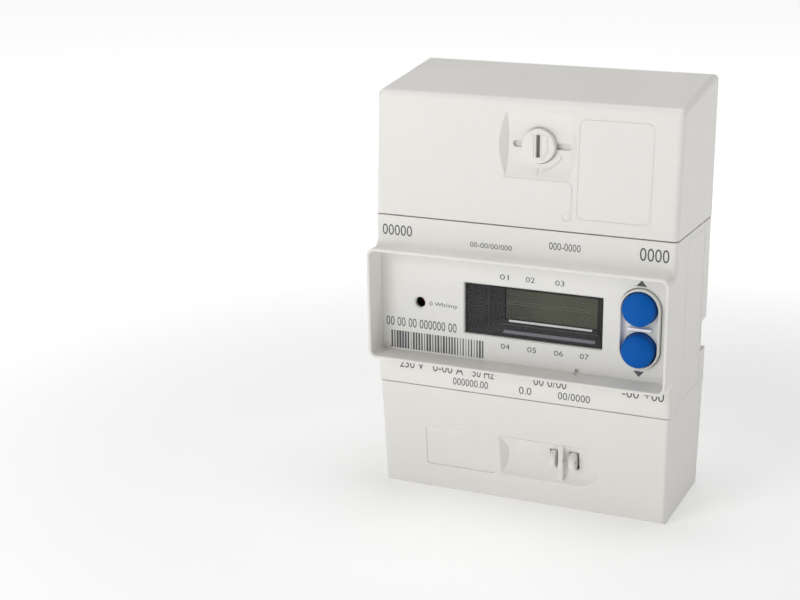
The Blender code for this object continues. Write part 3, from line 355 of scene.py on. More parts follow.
    def apply(self) -> "Solid":
        """Replace the mesh by what its modifiers make, and drop them."""
        bpy.context.view_layer.update()
        seen = self.item.evaluated_get(bpy.context.evaluated_depsgraph_get())
        made = bpy.data.meshes.new_from_object(seen)
        made.name = self.item.name
        self.item.modifiers.clear()
        self.item.data = made
        return self

    def combine(self, operation: str, tools: Iterable["Solid"]) -> "Solid":
        """Run one Boolean for each tool and throw the tools away."""
        tools = list(tools)
        for tool in tools:
            modifier = self.item.modifiers.new(tool.item.name, "BOOLEAN")
            modifier.operation = operation
            modifier.solver = "EXACT"
            modifier.object = tool.item
        self.apply()
        for tool in tools:
            bpy.data.objects.remove(tool.item)
        return self

    def cut(self, *tools: "Solid") -> "Solid":
        """Take the tools away from the body."""
        return self.combine("DIFFERENCE", tools)

    def join(self, *tools: "Solid") -> "Solid":
        """Add the tools to the body."""
        return self.combine("UNION", tools)

    def smoothed(self, angle: float = 32.0) -> "Solid":
        """Shade smoothly up to an angle, with flat faces kept flat."""
        mesh = self.item.data
        mesh.shade_smooth()
        mesh.set_sharp_from_angle(angle=math.radians(angle))
        modifier = self.item.modifiers.new("flat_faces", "WEIGHTED_NORMAL")
        modifier.keep_sharp = True
        return self.apply()


# ---------------------------------------------------------------- node trees


Number = "float | Value"


class Value:
    """A number that varies over a surface. Arithmetic on it adds Math nodes."""

    def __init__(self, tree: bpy.types.NodeTree, socket: bpy.types.NodeSocket) -> None:
        """Wrap an output socket."""
        self.tree = tree
        self.socket = socket

    def math(self, operation: str, *numbers: Number) -> "Value":
        """Add one Math node.

        Args:
            operation: The node's operation.
            numbers: What it works on, as numbers or values.
        Returns:
            The node's result.
        """
        node = self.tree.nodes.new("ShaderNodeMath")
        node.operation = operation
        for socket, number in zip(node.inputs, numbers):
            if isinstance(number, Value):
                self.tree.links.new(number.socket, socket)
            else:
                socket.default_value = number
        return Value(self.tree, node.outputs[0])

    def __add__(self, other: Number) -> "Value":
        """The sum."""
        return self.math("ADD", self, other)

    def __sub__(self, other: Number) -> "Value":
        """The difference."""
        return self.math("SUBTRACT", self, other)

    def __rsub__(self, other: Number) -> "Value":
        """The difference, taken from a number."""
        return self.math("SUBTRACT", other, self)

    def __mul__(self, other: Number) -> "Value":
        """The product."""
        return self.math("MULTIPLY", self, other)

    __radd__ = __add__
    __rmul__ = __mul__

    def size(self) -> "Value":
        """The absolute value."""
        return self.math("ABSOLUTE", self)

    def ramp(self, low: float, high: float) -> "Value":
        """0 up to low and 1 from high on, smoothly between them."""
        node = self.tree.nodes.new("ShaderNodeMapRange")
        node.interpolation_type = "SMOOTHSTEP"
        self.tree.links.new(self.socket, node.inputs["Value"])
        node.inputs["From Min"].default_value = low
        node.inputs["From Max"].default_value = high
        return Value(self.tree, node.outputs["Result"])


class Tree:
    """A node tree that is written one node at a time."""

    def __init__(self, tree: bpy.types.NodeTree) -> None:
        """Start from an empty tree."""
        self.tree = tree
        tree.nodes.clear()

    def node(self, kind: str, settings: Optional[dict] = None, inputs: Optional[dict] = None,
             output: "int | str" = 0) -> Value:
        """Add a node.

        Args:
            kind: The node's type.
            settings: Its properties.
            inputs: Numbers, colours or values for its sockets, by name or index.
            output: The socket to give back.
        Returns:
            The wrapped output.
        """
        node = self.tree.nodes.new(kind)
        for name, setting in (settings or {}).items():
            setattr(node, name, setting)
        for name, value in (inputs or {}).items():
            if isinstance(value, Value):
                self.tree.links.new(value.socket, node.inputs[name])
            else:
                node.inputs[name].default_value = value
        return Value(self.tree, node.outputs[output] if len(node.outputs) else None)


Colour = tuple[float, float, float]


def paint(red: int, green: int, blue: int) -> Colour:
    """A display colour from 0 to 255 as linear light."""
    shares = [part / 255 for part in (red, green, blue)]
    return tuple(share / 12.92 if share <= 0.04045 else ((share + 0.055) / 1.055) ** 2.4 for share in shares)


class Shader(Tree):
    """A material's nodes, with the patterns that its finishes share."""

    EDGE_TURN = (0.01, 0.16)

    def __init__(self, name: str) -> None:
        """Make an empty material."""
        self.material = bpy.data.materials.new(name)
        self.material.use_nodes = True
        super().__init__(self.material.node_tree)
        self.place = self.node("ShaderNodeTexCoord", output="Object")

    def noise(self, size: float, detail: float = 2.0, stretch: Colour = (1.0, 1.0, 1.0)) -> Value:
        """Cloudy variation from 0 to 1.

        Args:
            size: The clouds' size in millimetres.
            detail: Octaves of finer noise.
            stretch: How much longer the clouds are along x, depth and z.
        Returns:
            The variation.
        """
        scale = tuple(1.0 / share for share in stretch)
        mapped = self.node("ShaderNodeMapping", None, {"Vector": self.place, "Scale": scale}, "Vector")
        return self.node("ShaderNodeTexNoise", None,
                         {"Vector": mapped, "Scale": 1.0 / (size * MM), "Detail": detail}, "Fac")

    def mix(self, share: Number, first: "Colour | Value", second: "Colour | Value") -> Value:
        """Mix two colours.

        Args:
            share: How much of the second.
            first: The colour at 0.
            second: The colour at 1.
        Returns:
            The mixed colour.
        """
        full = [colour if isinstance(colour, Value) else (*colour, 1.0) for colour in (first, second)]
        return self.node("ShaderNodeMix", {"data_type": "RGBA"}, {0: share, 6: full[0], 7: full[1]}, 2)

    def rounded_normal(self, radius: float) -> Value:
        """The surface's direction with its edges rounded by a radius in millimetres."""
        return self.node("ShaderNodeBevel", {"samples": 4}, {"Radius": radius * MM}, "Normal")

    def edges(self, rounding: Value) -> Value:
        """1 along the edges and 0 on flat faces."""
        facing = self.node("ShaderNodeNewGeometry", output="Normal")
        match = self.node("ShaderNodeVectorMath", {"operation": "DOT_PRODUCT"}, {0: rounding, 1: facing},
                          "Value")
        return (1.0 - match).ramp(*self.EDGE_TURN)

    def bump(self, height: Value, rise: float, normal: Optional[Value] = None) -> Value:
        """A surface's direction under a fine relief.

        Args:
            height: The relief from 0 to 1.
            rise: Its height in millimetres.
            normal: The direction that it starts from.
        Returns:
            The new direction.
        """
        inputs = {"Height": height, "Distance": rise * MM, "Strength": 1.0}
        if normal is not None:
            inputs["Normal"] = normal
        return self.node("ShaderNodeBump", None, inputs, "Normal")

    def close(self, inputs: dict, clear: Optional[Number] = None) -> bpy.types.Material:
        """End in a Principled shader.

        Args:
            inputs: Its sockets.
            clear: The share that lets light straight through, for a see-through finish.
        Returns:
            The finished material.
        """
        surface = self.node("ShaderNodeBsdfPrincipled", None, inputs, "BSDF")
        if clear is not None:
            through = self.node("ShaderNodeBsdfTransparent", output="BSDF")
            surface = self.node("ShaderNodeMixShader", None, {0: clear, 1: surface, 2: through}, "Shader")
        self.node("ShaderNodeOutputMaterial", None, {"Surface": surface})
        return self.material


# ---------------------------------------------------------------- finishes


@dataclass(frozen=True)
class Plastic:
    """A moulded plastic with a fine eroded grain, slight mottling, and edges lightened in patches, partly as
    wear and partly as a painted edge highlight.
    """

    colour: Colour
    roughness: float = 0.5
    mottling: float = 0.04
    grain: float = 0.3
    relief: float = 0.006
    edge_radius: float = 0.25
    # How far the edges are lightened towards white: wear and a painted edge highlight.
    wear_and_highlight_lift: float = 0.25
    sheen: float = 0.5

    def build(self, name: str) -> bpy.types.Material:
        """Build the material."""
        shader = Shader(name)
        clouds = shader.noise(38.0, 3.0)
        specks = shader.noise(1.7, 2.0)
        rounding = shader.rounded_normal(self.edge_radius)
        worn = shader.edges(rounding) * shader.noise(4.0, 3.0).ramp(0.3, 0.65)
        deep = tuple(part * (1 - 2 * self.mottling) for part in self.colour)
        light = tuple(part + (1 - part) * self.mottling for part in self.colour)
        body = shader.mix(clouds.ramp(0.25, 0.75), deep, light)
        body = shader.mix(specks.ramp(0.62, 0.8) * 0.25, body, tuple(part * 0.8 for part in self.colour))
        # Edges lightened towards white in patches: wear, and also a painted highlight along the edges.
        worn_and_highlit = tuple(part + (1 - part) * self.wear_and_highlight_lift for part in self.colour)
        body = shader.mix(worn * 0.6, body, worn_and_highlit)
        rough = self.roughness + (clouds - 0.5) * 0.14 + (specks - 0.5) * 0.08 - worn * 0.12
        grain = shader.noise(self.grain, 2.0)
        return shader.close({"Base Color": body, "Roughness": rough, "Specular IOR Level": self.sheen,
                             "Normal": shader.bump(grain, self.relief, rounding)})


@dataclass(frozen=True)
class Metal:
    """A plated or bare metal with drawn marks, dull clouds and bright edges."""

    colour: Colour
    tarnish: Colour
    roughness: float = 0.3

    def build(self, name: str) -> bpy.types.Material:
        """Build the material."""
        shader = Shader(name)
        clouds = shader.noise(5.0, 4.0)
        drawn = shader.noise(0.5, 2.0, (12.0, 1.0, 1.0))
        rounding = shader.rounded_normal(0.12)
        worn = shader.edges(rounding)
        body = shader.mix(clouds.ramp(0.4, 0.75), self.colour, self.tarnish)
        body = shader.mix(worn * 0.7, body, self.colour)
        rough = self.roughness + (clouds - 0.5) * 0.25 + (drawn - 0.5) * 0.15 - worn * 0.1
        return shader.close({"Base Color": body, "Roughness": rough, "Metallic": 1.0,
                             "Normal": shader.bump(drawn, 0.004, rounding)})


@dataclass(frozen=True)
class ClearWindow:
    """The clear display window, with faint smears."""

    tint: Colour = (0.05, 0.052, 0.055)
    clearness: float = 0.9

    def build(self, name: str) -> bpy.types.Material:
        """Build the material."""
        shader = Shader(name)
        smears = shader.noise(7.0, 4.0, (2.5, 1.0, 1.0)).ramp(0.5, 0.8)
        clear = self.clearness - smears * 0.03
        return shader.close({"Base Color": shader.mix(smears * 0.12, self.tint, paint(120, 122, 125)),
                             "Roughness": 0.04 + smears * 0.1, "IOR": 1.49,
                             "Normal": shader.bump(shader.noise(9.0), 0.02)}, clear)


@dataclass(frozen=True)
class LiquidCrystal:
    """The unlit display cell: an olive film with the edges of its electrode rows."""

    film: Colour = paint(82, 86, 62)
    shade: Colour = paint(58, 62, 46)
    row: Colour = paint(112, 118, 90)
    row_height: float = 0.17

    def build(self, name: str, rows: Sequence[float], left: float, right: float) -> bpy.types.Material:
        """Build the material.

        Args:
            name: The material's name.
            rows: Heights of the faint lines.
            left: Where the film starts to darken at the left.
            right: Where it is fully lit.
        Returns:
            The material.
        """
        shader = Shader(name)
        split = [shader.node("ShaderNodeSeparateXYZ", None, {0: shader.place}, axis) for axis in "XZ"]
        clouds = shader.noise(11.0, 3.0)
        lit = split[0].ramp(left * MM, right * MM) * 0.7 + clouds * 0.3
        body = shader.mix(lit, self.shade, self.film)
        for height in rows:
            away = (split[1] - height * MM).size()
            line = 1.0 - away.ramp(self.row_height * 0.3 * MM, self.row_height * MM)
            body = shader.mix(line * 0.7, body, self.row)
        return shader.close({"Base Color": body, "Roughness": 0.16 + clouds * 0.1,
                             "Normal": shader.bump(shader.noise(0.4), 0.002)})


@dataclass(frozen=True)
class CircuitBoard:
    """Solder mask over copper tracks, with tinned pads."""

    mask: Colour = paint(24, 92, 56)
    track: Colour = paint(44, 124, 78)
    pad: Colour = paint(196, 196, 190)

    def build(self, name: str) -> bpy.types.Material:
        """Build the material."""
        shader = Shader(name)
        flat = shader.node("ShaderNodeMapping", None,
                           {"Vector": shader.place, "Rotation": (math.pi / 2, 0, 0)}, "Vector")
        tracks = shader.node("ShaderNodeTexBrick", {"offset": 0.37, "squash": 1.6},
                             {"Vector": flat, "Scale": 130.0, "Mortar Size": 0.035, "Color1": (0, 0, 0, 1),
                              "Color2": (0, 0, 0, 1), "Mortar": (1, 1, 1, 1)}, "Fac")
        dots = shader.node("ShaderNodeTexVoronoi", None, {"Vector": flat, "Scale": 260.0, "Randomness": 0.35},
                           "Distance")
        pads = 1.0 - dots.ramp(0.16, 0.2)
        weave = shader.noise(0.6, 1.0)
        body = shader.mix(tracks, shader.mix(weave * 0.3, self.mask, (0.0, 0.02, 0.01)), self.track)
        body = shader.mix(pads, body, self.pad)
        return shader.close({"Base Color": body, "Roughness": 0.42 - pads * 0.15 + weave * 0.1,
                             "Metallic": pads * 0.9, "Normal": shader.bump(tracks + pads, 0.03)})


@dataclass(frozen=True)
class LampLens:
    """The lamp's tinted resin, lighter where it is thin."""

    deep: Colour = paint(96, 10, 12)
    thin: Colour = paint(170, 34, 30)

    def build(self, name: str) -> bpy.types.Material:
        """Build the material."""
        shader = Shader(name)
        clouds = shader.noise(1.5, 2.0)
        return shader.close({"Base Color": shader.mix(clouds, self.deep, self.thin),
                             "Roughness": 0.08 + clouds * 0.12, "Coat Weight": 0.6,
                             "Normal": shader.bump(clouds, 0.01)})


@dataclass(frozen=True)
class Ink:
    """Printed marks, with slightly uneven cover."""

    colour: Colour = paint(88, 88, 92)
    thin: Colour = paint(122, 122, 124)

    def build(self, name: str) -> bpy.types.Material:
        """Build the material."""
        shader = Shader(name)
        cover = shader.noise(0.5, 3.0)
        return shader.close({"Base Color": shader.mix(cover.ramp(0.5, 0.8), self.colour, self.thin),
                             "Roughness": 0.55 + cover * 0.2, "Normal": shader.bump(cover, 0.004)})


class Slot(Enum):
    """The record's material slots."""

    HOUSING = "housing_plastic"
    FACE = "face_plastic"
    WINDOW = "window_clear"
    MASK = "mask_black"
    LCD = "lcd_glass"
    BUTTON = "button_blue"
    BOARD = "board_green"
    LAMP = "led_red"
    RUBBER = "contact_rubber"
    BLACK = "component_black"
    YELLOW = "component_yellow"
    TERMINAL = "terminal_plastic"
    BRASS = "brass"
    COPPER = "copper"
    STEEL = "plated_steel"


class Palette:
    """Every finish of the meter, built once."""

    def __init__(self) -> None:
        """Build the materials."""
        lcd = node_box("lcd_glass")
        plain = {
            Slot.HOUSING: Plastic(paint(236, 234, 229), 0.46, 0.012, 0.35, 0.005),
            Slot.FACE: Plastic(paint(232, 231, 227), 0.5, 0.012, 0.3, 0.006),
            Slot.MASK: Plastic(paint(20, 20, 21), 0.4, 0.03, 0.4, 0.004, 0.15, 0.06, 0.25),
            Slot.BUTTON: Plastic(paint(0, 91, 178), 0.5, 0.002, 0.5, 0.004, 0.3, 0.0, 0.12),
            Slot.RUBBER: Plastic(paint(150, 150, 153), 0.8, 0.06, 0.4, 0.02),
            Slot.BLACK: Plastic(paint(38, 38, 40), 0.55, 0.1, 0.25, 0.015, 0.2, 0.08),
            Slot.YELLOW: Plastic(paint(206, 172, 62), 0.45, 0.06, 0.6, 0.012, 0.2, 0.2),
            Slot.TERMINAL: Plastic(paint(62, 63, 66), 0.6, 0.08, 0.3, 0.015, 0.2, 0.08),
            Slot.BRASS: Metal(paint(206, 172, 96), paint(150, 112, 52)),
            Slot.COPPER: Metal(paint(208, 138, 98), paint(140, 76, 48)),
            Slot.STEEL: Metal(paint(196, 197, 199), paint(150, 150, 148), 0.28),
            Slot.BOARD: CircuitBoard(),
            Slot.LAMP: LampLens(),
            Slot.WINDOW: ClearWindow(),
        }
        self.finishes = {slot: finish.build(slot.value) for slot, finish in plain.items()}
        rows = (lcd.z.middle + 1.2, lcd.z.middle + 0.1)
        self.finishes[Slot.LCD] = LiquidCrystal().build("lcd_glass", rows, lcd.x.low + 6.0, lcd.x.low + 22.0)
        trims = {
            "print_ink": Ink(),
            # Painted highlight and painted reflections on the black mask's sloping floor and its side rib.
            "display_light_edge": Plastic(paint(250, 250, 252), 0.25, 0.03, 0.5, 0.01),
            "display_grey_edge": Plastic(paint(78, 79, 78), 0.4, 0.04, 0.5, 0.01, 0.1, 0.05, 0.2),
            "display_pale_edge": Plastic(paint(146, 142, 152), 0.4, 0.04, 0.5, 0.01, 0.1, 0.05, 0.3),
            "coin_slot_shade": Plastic(paint(128, 127, 112), 0.6, 0.05, 0.4, 0.01),
            "button_bar_white": Plastic(paint(246, 246, 248), 0.35, 0.01, 0.4, 0.005),
            # A whiter copy of the housing plastic: a painted highlight on the lower cover's beads.
            "painted_highlight_rim": Plastic(paint(253, 252, 250), 0.3, 0.01, 0.4, 0.005),
        }
        self.trims = {name: finish.build(name) for name, finish in trims.items()}


def show(solid: "Solid | bpy.types.Object", palette: Palette, slot: Slot, body: str = "housing",
         replaced: Sequence[str] = (), finish: Optional[bpy.types.Material] = None) -> bpy.types.Object:
    """Dress a finished piece and tie it to its body.

    Args:
        solid: The piece.
        palette: The finishes.
        slot: The record's slot that it takes its finish from.
        body: The body that it moves with.
        replaced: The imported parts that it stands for.
        finish: A finish other than the slot's own.
    Returns:
        The piece's object.
    """
    item = solid.item if isinstance(solid, Solid) else solid
    item.data.materials.clear()
    item.data.materials.append(finish or palette.finishes[slot])
    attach(item, body)
    if replaced:
        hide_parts(*replaced)
    log.info("%s: %d faces, on %s", item.name, len(item.data.polygons), body)
    return item


# ---------------------------------------------------------------- repeated things


class Pattern(Tree):
    """A Geometry Nodes tree with named inputs, run once on a set of points."""

    def __init__(self, name: str, inputs: dict[str, float]) -> None:
        """Start the tree with number inputs."""
        self.group = bpy.data.node_groups.new(name, "GeometryNodeTree")
        super().__init__(self.group)
        ports = self.group.interface
        ports.new_socket(name="Geometry", in_out="OUTPUT", socket_type="NodeSocketGeometry")
        ports.new_socket(name="Geometry", in_out="INPUT", socket_type="NodeSocketGeometry")
        ports.new_socket(name="Material", in_out="INPUT", socket_type="NodeSocketMaterial")
        self.idents = {}
        for label, value in inputs.items():
            port = ports.new_socket(name=label, in_out="INPUT", socket_type="NodeSocketFloat")
            port.default_value = value
        for item in ports.items_tree:
            if item.in_out == "INPUT":
                self.idents[item.name] = item.identifier
        self.start = self.group.nodes.new("NodeGroupInput")

    def given(self, label: str) -> Value:
        """One of the tree's inputs."""
        return Value(self.group, self.start.outputs[label])

    def vector(self, x: Number, y: Number, z: Number) -> Value:
        """Three numbers as one vector."""
        return self.node("ShaderNodeCombineXYZ", None, {0: x, 1: y, 2: z}, 0)

    def joined(self, *parts: Value) -> Value:
        """Several meshes as one."""
        node = self.group.nodes.new("GeometryNodeJoinGeometry")
        for part in reversed(parts):
            self.group.links.new(part.socket, node.inputs[0])
        return Value(self.group, node.outputs[0])

    def end(self, geometry: Value) -> None:
        """Realize the instances, set the material and close the tree."""
        real = self.node("GeometryNodeRealizeInstances", None, {0: geometry})
        dressed = self.node("GeometryNodeSetMaterial", None,
                            {"Geometry": real, "Material": self.given("Material")})
        self.node("NodeGroupOutput", None, {0: dressed})

    def grow(self, name: str, points: Sequence[Vector], material: bpy.types.Material,
             inputs: Optional[dict[str, float]] = None) -> Solid:
        """Run the tree on a set of points.

        Args:
            name: The piece's name.
            points: The places, in metres.
            material: The finish.
            inputs: Values for the tree's named inputs.
        Returns:
            The plain mesh piece.
        """
        mesh = bpy.data.meshes.new(name)
        mesh.from_pydata([tuple(point) for point in points], [], [])
        item = bpy.data.objects.new(name, mesh)
        modifier = item.modifiers.new("pattern", "NODES")
        modifier.node_group = self.group
        modifier[self.idents["Material"]] = material
        for label, value in (inputs or {}).items():
            modifier[self.idents[label]] = value
        bpy.context.scene.collection.objects.link(item)
        grown = Solid.__new__(Solid)
        grown.item = item
        return grown.apply()


class ScrewPattern(Pattern):
    """Pan-head screws with a cross recess, one at each point, their heads towards the front."""

    def __init__(self) -> None:
        """Build the tree. Lengths are in metres."""
        super().__init__("cross_head_screws", {"Head Radius": 0.003, "Head Height": 0.002,
                                               "Shank Radius": 0.0012, "Length": 0.008})
        radius, height = self.given("Head Radius"), self.given("Head Height")
        shank, length = self.given("Shank Radius"), self.given("Length")
        rim = self.cone(40, radius, radius, height * 0.55, 0.0)
        dome = self.cone(40, radius, radius * 0.82, height * 0.3, height * 0.55)
        crown = self.cone(40, radius * 0.82, radius * 0.5, height * 0.15, height * 0.85)
        cuts = [self.moved(self.node("GeometryNodeMeshCube", None, {"Size": size}, "Mesh"), height)
                for size in (self.vector(radius * 1.15, radius * 0.2, height * 0.9),
                             self.vector(radius * 0.2, radius * 1.15, height * 0.9))]
        solid = self.node("GeometryNodeMeshBoolean", {"operation": "UNION", "solver": "EXACT"},
                          {1: self.joined(rim, dome, crown)})
        head = self.node("GeometryNodeMeshBoolean", {"operation": "DIFFERENCE", "solver": "EXACT"},
                         {0: solid, 1: self.joined(*cuts)})
        shank_rod = self.cone(20, shank, shank, length, length * -1.0)
        turned = self.node("GeometryNodeTransform", None,
                           {"Geometry": self.joined(head, shank_rod), "Rotation": (math.pi / 2, 0.0, 0.0)})
        placed = self.node("GeometryNodeInstanceOnPoints", None,
                           {"Points": self.given("Geometry"), "Instance": turned})
        self.end(placed)

    def cone(self, sides: int, bottom: Number, top: Number, height: Number, lift: Number) -> Value:
        """A closed frustum that starts at a height.

        Args:
            sides: Its sides.
            bottom: Its radius at the foot.
            top: Its radius at the top.
            height: Its height.
            lift: Where its foot lies.
        Returns:
            The mesh.
        """
        mesh = self.node("GeometryNodeMeshCone", None, {"Vertices": sides, "Radius Top": top,
                                                        "Radius Bottom": bottom, "Depth": height}, "Mesh")
        return self.moved(mesh, lift)

    def moved(self, mesh: Value, lift: Number) -> Value:
        """A mesh raised by a height."""
        return self.node("GeometryNodeTransform", None,
                         {"Geometry": mesh, "Translation": self.vector(0.0, 0.0, lift)})


class BarPattern(Pattern):
    """A row of upright printed bars of chance widths. It stands for no number."""

    SEED = 11

    def __init__(self) -> None:
        """Build the tree. Each point becomes one bar. Lengths are in metres."""
        super().__init__("printed_bars", {"Bar Height": 0.007, "Thinnest": 0.0002, "Widest": 0.0008})
        width = self.node("FunctionNodeRandomValue", {"data_type": "FLOAT"},
                          {2: self.given("Thinnest"), 3: self.given("Widest"), "Seed": self.SEED}, 1)
        bar = self.node("GeometryNodeMeshCube", None,
                        {"Size": self.vector(1.0, PRINT_HEIGHT * MM, self.given("Bar Height"))}, "Mesh")
        placed = self.node("GeometryNodeInstanceOnPoints", None,
                           {"Points": self.given("Geometry"), "Instance": bar,
                            "Scale": self.vector(width, 1.0, 1.0)})
        self.end(placed)


# ---------------------------------------------------------------- shared shapes


def fillet(radius: float, steps: int = 6) -> list[Point]:
    """Inset and depth of a rounded front edge, from its face to its side."""
    turns = [math.pi / 2 * step / steps for step in range(steps + 1)]
    return [(radius * (1 - math.sin(turn)), radius * (1 - math.cos(turn))) for turn in turns]


def rimmed(outline: Callable[[float], Sequence[Point]], reach: Span, radius: float) -> list[Section]:
    """Sections of a slab whose front edge is rounded.

    Args:
        outline: Gives the outline at an inset.
        reach: The slab's depths.
        radius: The front edge's rounding.
    Returns:
        The sections from front to back.
    """
    front = [(outline(inset), reach.low + rise) for inset, rise in fillet(radius)]
    return front + [(outline(0.0), reach.high)]


def mouth(outline: Callable[[float], Sequence[Point]], reach: Span, flare: float) -> list[Section]:
    """Sections of a cutter that leaves a rounded lip where it goes in at reach.low."""
    lip = [(outline(-inset), reach.low + rise) for inset, rise in fillet(flare)]
    return [(outline(-flare), reach.low - 2.0)] + lip + [(outline(0.0), reach.high)]


def groove(name: str, outline: Callable[[float], Sequence[Point]], width: float, depth: float) -> Solid:
    """A ring-shaped cutter for a fine groove along an outline, its bottom in the middle."""
    sections = [(outline(-width / 2), -0.4), (outline(-width / 2), 0.0), (outline(-width / 6), depth),
                (outline(width / 6), depth), (outline(width / 2), 0.0), (outline(width / 2), -0.4)]
    return Solid.loft(name, sections, ring=True)


@dataclass(frozen=True)
class Hollow:
    """A hollow scooped by a large cylinder that lies across the front of a cover."""

    x: Span
    centre: float
    height: float
    depth: float
    surface: float
    tilt: float

    @property
    def radius(self) -> float:
        """The cylinder's radius."""
        chord = self.height / 2
        return (chord ** 2 + self.depth ** 2) / (2 * self.depth)

    @property
    def axis(self) -> Point:
        """Depth and height of the cylinder's axis."""
        return (self.surface + self.depth - self.radius, self.centre + self.radius * math.sin(self.tilt))

    def floor(self, z: float) -> float:
        """Depth of the hollow's floor at a height."""
        return self.axis[0] + math.sqrt(max(self.radius ** 2 - (z - self.axis[1]) ** 2, 0.0))

    def cutter(self, name: str) -> Solid:
        """The cylinder with two sloping ends."""
        slope = self.depth * 1.3
        profile = [(0.0, self.x.low - slope), (self.radius - slope, self.x.low - slope),
                   (self.radius, self.x.low), (self.radius, self.x.high),
                   (self.radius - slope, self.x.high + slope), (0.0, self.x.high + slope)]
        return Solid.turned(name, profile, Vector((0.0, *self.axis)), Axis.X, 240)

    def capped_cutter(self, name: str) -> Solid:
        """The cylinder with a slanted flat wall at its left and a rounded right end."""
        turns = [math.radians(turn) for turn in range(0, 90, 3)]
        cap = [(self.radius * math.cos(turn), self.x.high + self.radius * math.sin(turn)) for turn in turns]
        start = self.x.low - 4.0
        profile = [(0.0, start), (self.radius, start)] + cap + [(0.0, self.x.high + self.radius)]
        wall = ((self.x.low - 70.0, self.surface - 60.0), (self.x.low - 60.0, self.surface - 60.0),
                (self.x.low + 8.0, self.surface + 8.0), (self.x.low - 70.0, self.surface + 8.0))
        wedge = Solid.prism("slanted_wall", wall, Span.about(self.centre, 4 * self.radius), Axis.Z)
        return Solid.turned(name, profile, Vector((0.0, *self.axis)), Axis.X, 240).cut(wedge)


KNOB = node_box("cover_knob")
EARS = node_box("seal_lug")
VENT = (23.6, 60.75)
SCREW_BORE = 1.7
BOARD_BORE = 1.3
SEAL_WIRE_BORE = 0.8
SEAL_WIRE_DEPTH = 1.1


# ---------------------------------------------------------------- upper cover


@dataclass
class UpperCover:
    """The leaning upper cover with its scooped hollow, label frame and inner ribs."""

    lean: float = 3.0
    rise: float = 8.4
    edge: float = 2.4
    scoop_x: Span = Span(-7.3, 18.6)
    scoop_height: float = 25.4
    scoop_depth: float = 3.0
    label_x: Span = Span(22.6, 52.0)
    label_z: Span = Span(122.6, 160.6)
    pip: Point = (18.3, 122.9)
    arc_radius: float = 9.6
    fold_right: float = 20.3
    fold_bend: float = 2.5
    webs: tuple[float, ...] = (-42.0, -21.0, 40.0)

    def __post_init__(self) -> None:
        """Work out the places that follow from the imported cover."""
        self.back = UPPER.depth.high
        self.top_front = UPPER.z.high - self.rise
        self.height = self.top_front - UPPER_SEAM
        self.knob = (KNOB.x.middle, KNOB.z.middle)
        self.hollow = Hollow(self.scoop_x, self.knob[1], self.scoop_height, self.scoop_depth,
                             self.front(0.0, self.knob[1]), math.atan2(self.lean, self.height))

    def front(self, _: float, z: float) -> float:
        """Depth of the leaning front at a height."""
        return self.lean * (z - UPPER_SEAM) / self.height

    def shell(self) -> Solid:
        """The outer form with its rounded edges, hollowed from behind."""
        def outer(right: bool, back: bool, top: bool) -> tuple[float, float, float]:
            """A corner of the outside."""
            depth = self.back if back else (self.lean if top else 0.0)
            z = (UPPER.z.high if back else self.top_front) if top else UPPER.z.low
            return (HALF_WIDTH if right else -HALF_WIDTH, depth, z)

        def inner(right: bool, back: bool, top: bool) -> tuple[float, float, float]:
            """A corner of the inside."""
            side = HALF_WIDTH - WALL
            depth = self.back + 1.0 if back else WALL + (self.lean if top else 0.0)
            z = (UPPER.z.high + 0.2 if back else self.top_front) - WALL if top else UPPER.z.low - 1.0
            return (side if right else -side, depth, z)

        shell = Solid.hexahedron("upper_cover_shell", outer, self.edge,
                                 lambda x, y, z: z > 0 or (z == 0 and y < 0))
        return shell.cut(Solid.hexahedron("upper_inside", inner, 1.2, lambda x, y, z: y < 0 or z > 0, 4))

    def fastener_place(self, shell: Solid) -> None:
        """Scoop the hollow and bore the knob's pocket and groove into it."""
        x, z = self.knob
        surface = self.front(x, z)
        floor = surface + self.scoop_depth
        shell.join(Solid.box("scoop_backing", self.hollow.x.grown(self.scoop_depth + WALL),
                             Span(surface + WALL / 2, floor + WALL), Span.about(z, self.scoop_height + WALL)))
        pocket, neck = KNOB.x.size / 2 + GAP, 4.5 + GAP
        slit = Span.about(z, 2.5)
        shell.cut(
            self.hollow.cutter("scoop"),
            Solid.rod("pocket", pocket, Span(-3.0, 3.0), Vector((x, floor - 3.0, z)), steps=96),
            Solid.rod("neck_bore", neck, Span(-1.0, WALL + 1.0), Vector((x, floor, z)), steps=64),
            Solid.loft("groove", mouth(lambda inset: rounded(Span(-5.6, 18.4), slit, 1.2, inset),
                                       Span(floor - 0.35, floor + 1.5), 0.2)))

    def marks(self, shell: Solid) -> None:
        """Add the turning arrow and cut the label frame, the fold line and the pip."""
        x, z = self.knob
        paths = {"turn_arc": arc((x, z), self.arc_radius, -80, -22, 20),
                 "turn_tick": ((x - 0.3, z - 8.9), (x - 0.3, z - 11.4))}
        shell.join(*[Solid.prism(name, ribbon(path, 0.5), Span(-0.25, 0.5)).bent(
            lambda _, height: self.hollow.floor(height)) for name, path in paths.items()])
        low, bend = z - self.scoop_height / 2 + 0.1, self.fold_bend
        turn = (self.fold_right - bend, low - bend)
        fold = [(self.scoop_x.low - 1.0, low), (turn[0], low)] + arc(turn, bend, 90, 0, 8)[1:]
        fold.append((self.fold_right, self.label_z.low - 0.4))
        lines = [groove("label_frame", lambda inset: rounded(self.label_x, self.label_z, 2.6, inset),
                        0.7, 0.24),
                 Solid.prism("fold_line", ribbon(fold, 0.4), Span(-0.4, 0.16))]
        pip = [(0.0, -0.4), (1.8, -0.4), (1.8, 0.0), (1.45, 0.28), (1.1, 0.1), (0.0, 0.14)]
        lines.append(Solid.turned("pip", pip, Vector((self.pip[0], 0.0, self.pip[1])), steps=40))
        shell.cut(*[line.bent(self.front) for line in lines])

    def ribs(self, shell: Solid) -> None:
        """Stiffening webs inside, under the top and behind the front."""
        front = self.front(0.0, self.top_front) + WALL
        under = self.top_front - WALL
        for index, x in enumerate(self.webs):
            web = ((front - 0.6, under - 9.0), (front - 0.6, under + 0.8), (front + 10.0, under + 1.4))
            shell.join(Solid.prism(f"web_{index}", web, Span.about(x, 1.2), Axis.X))

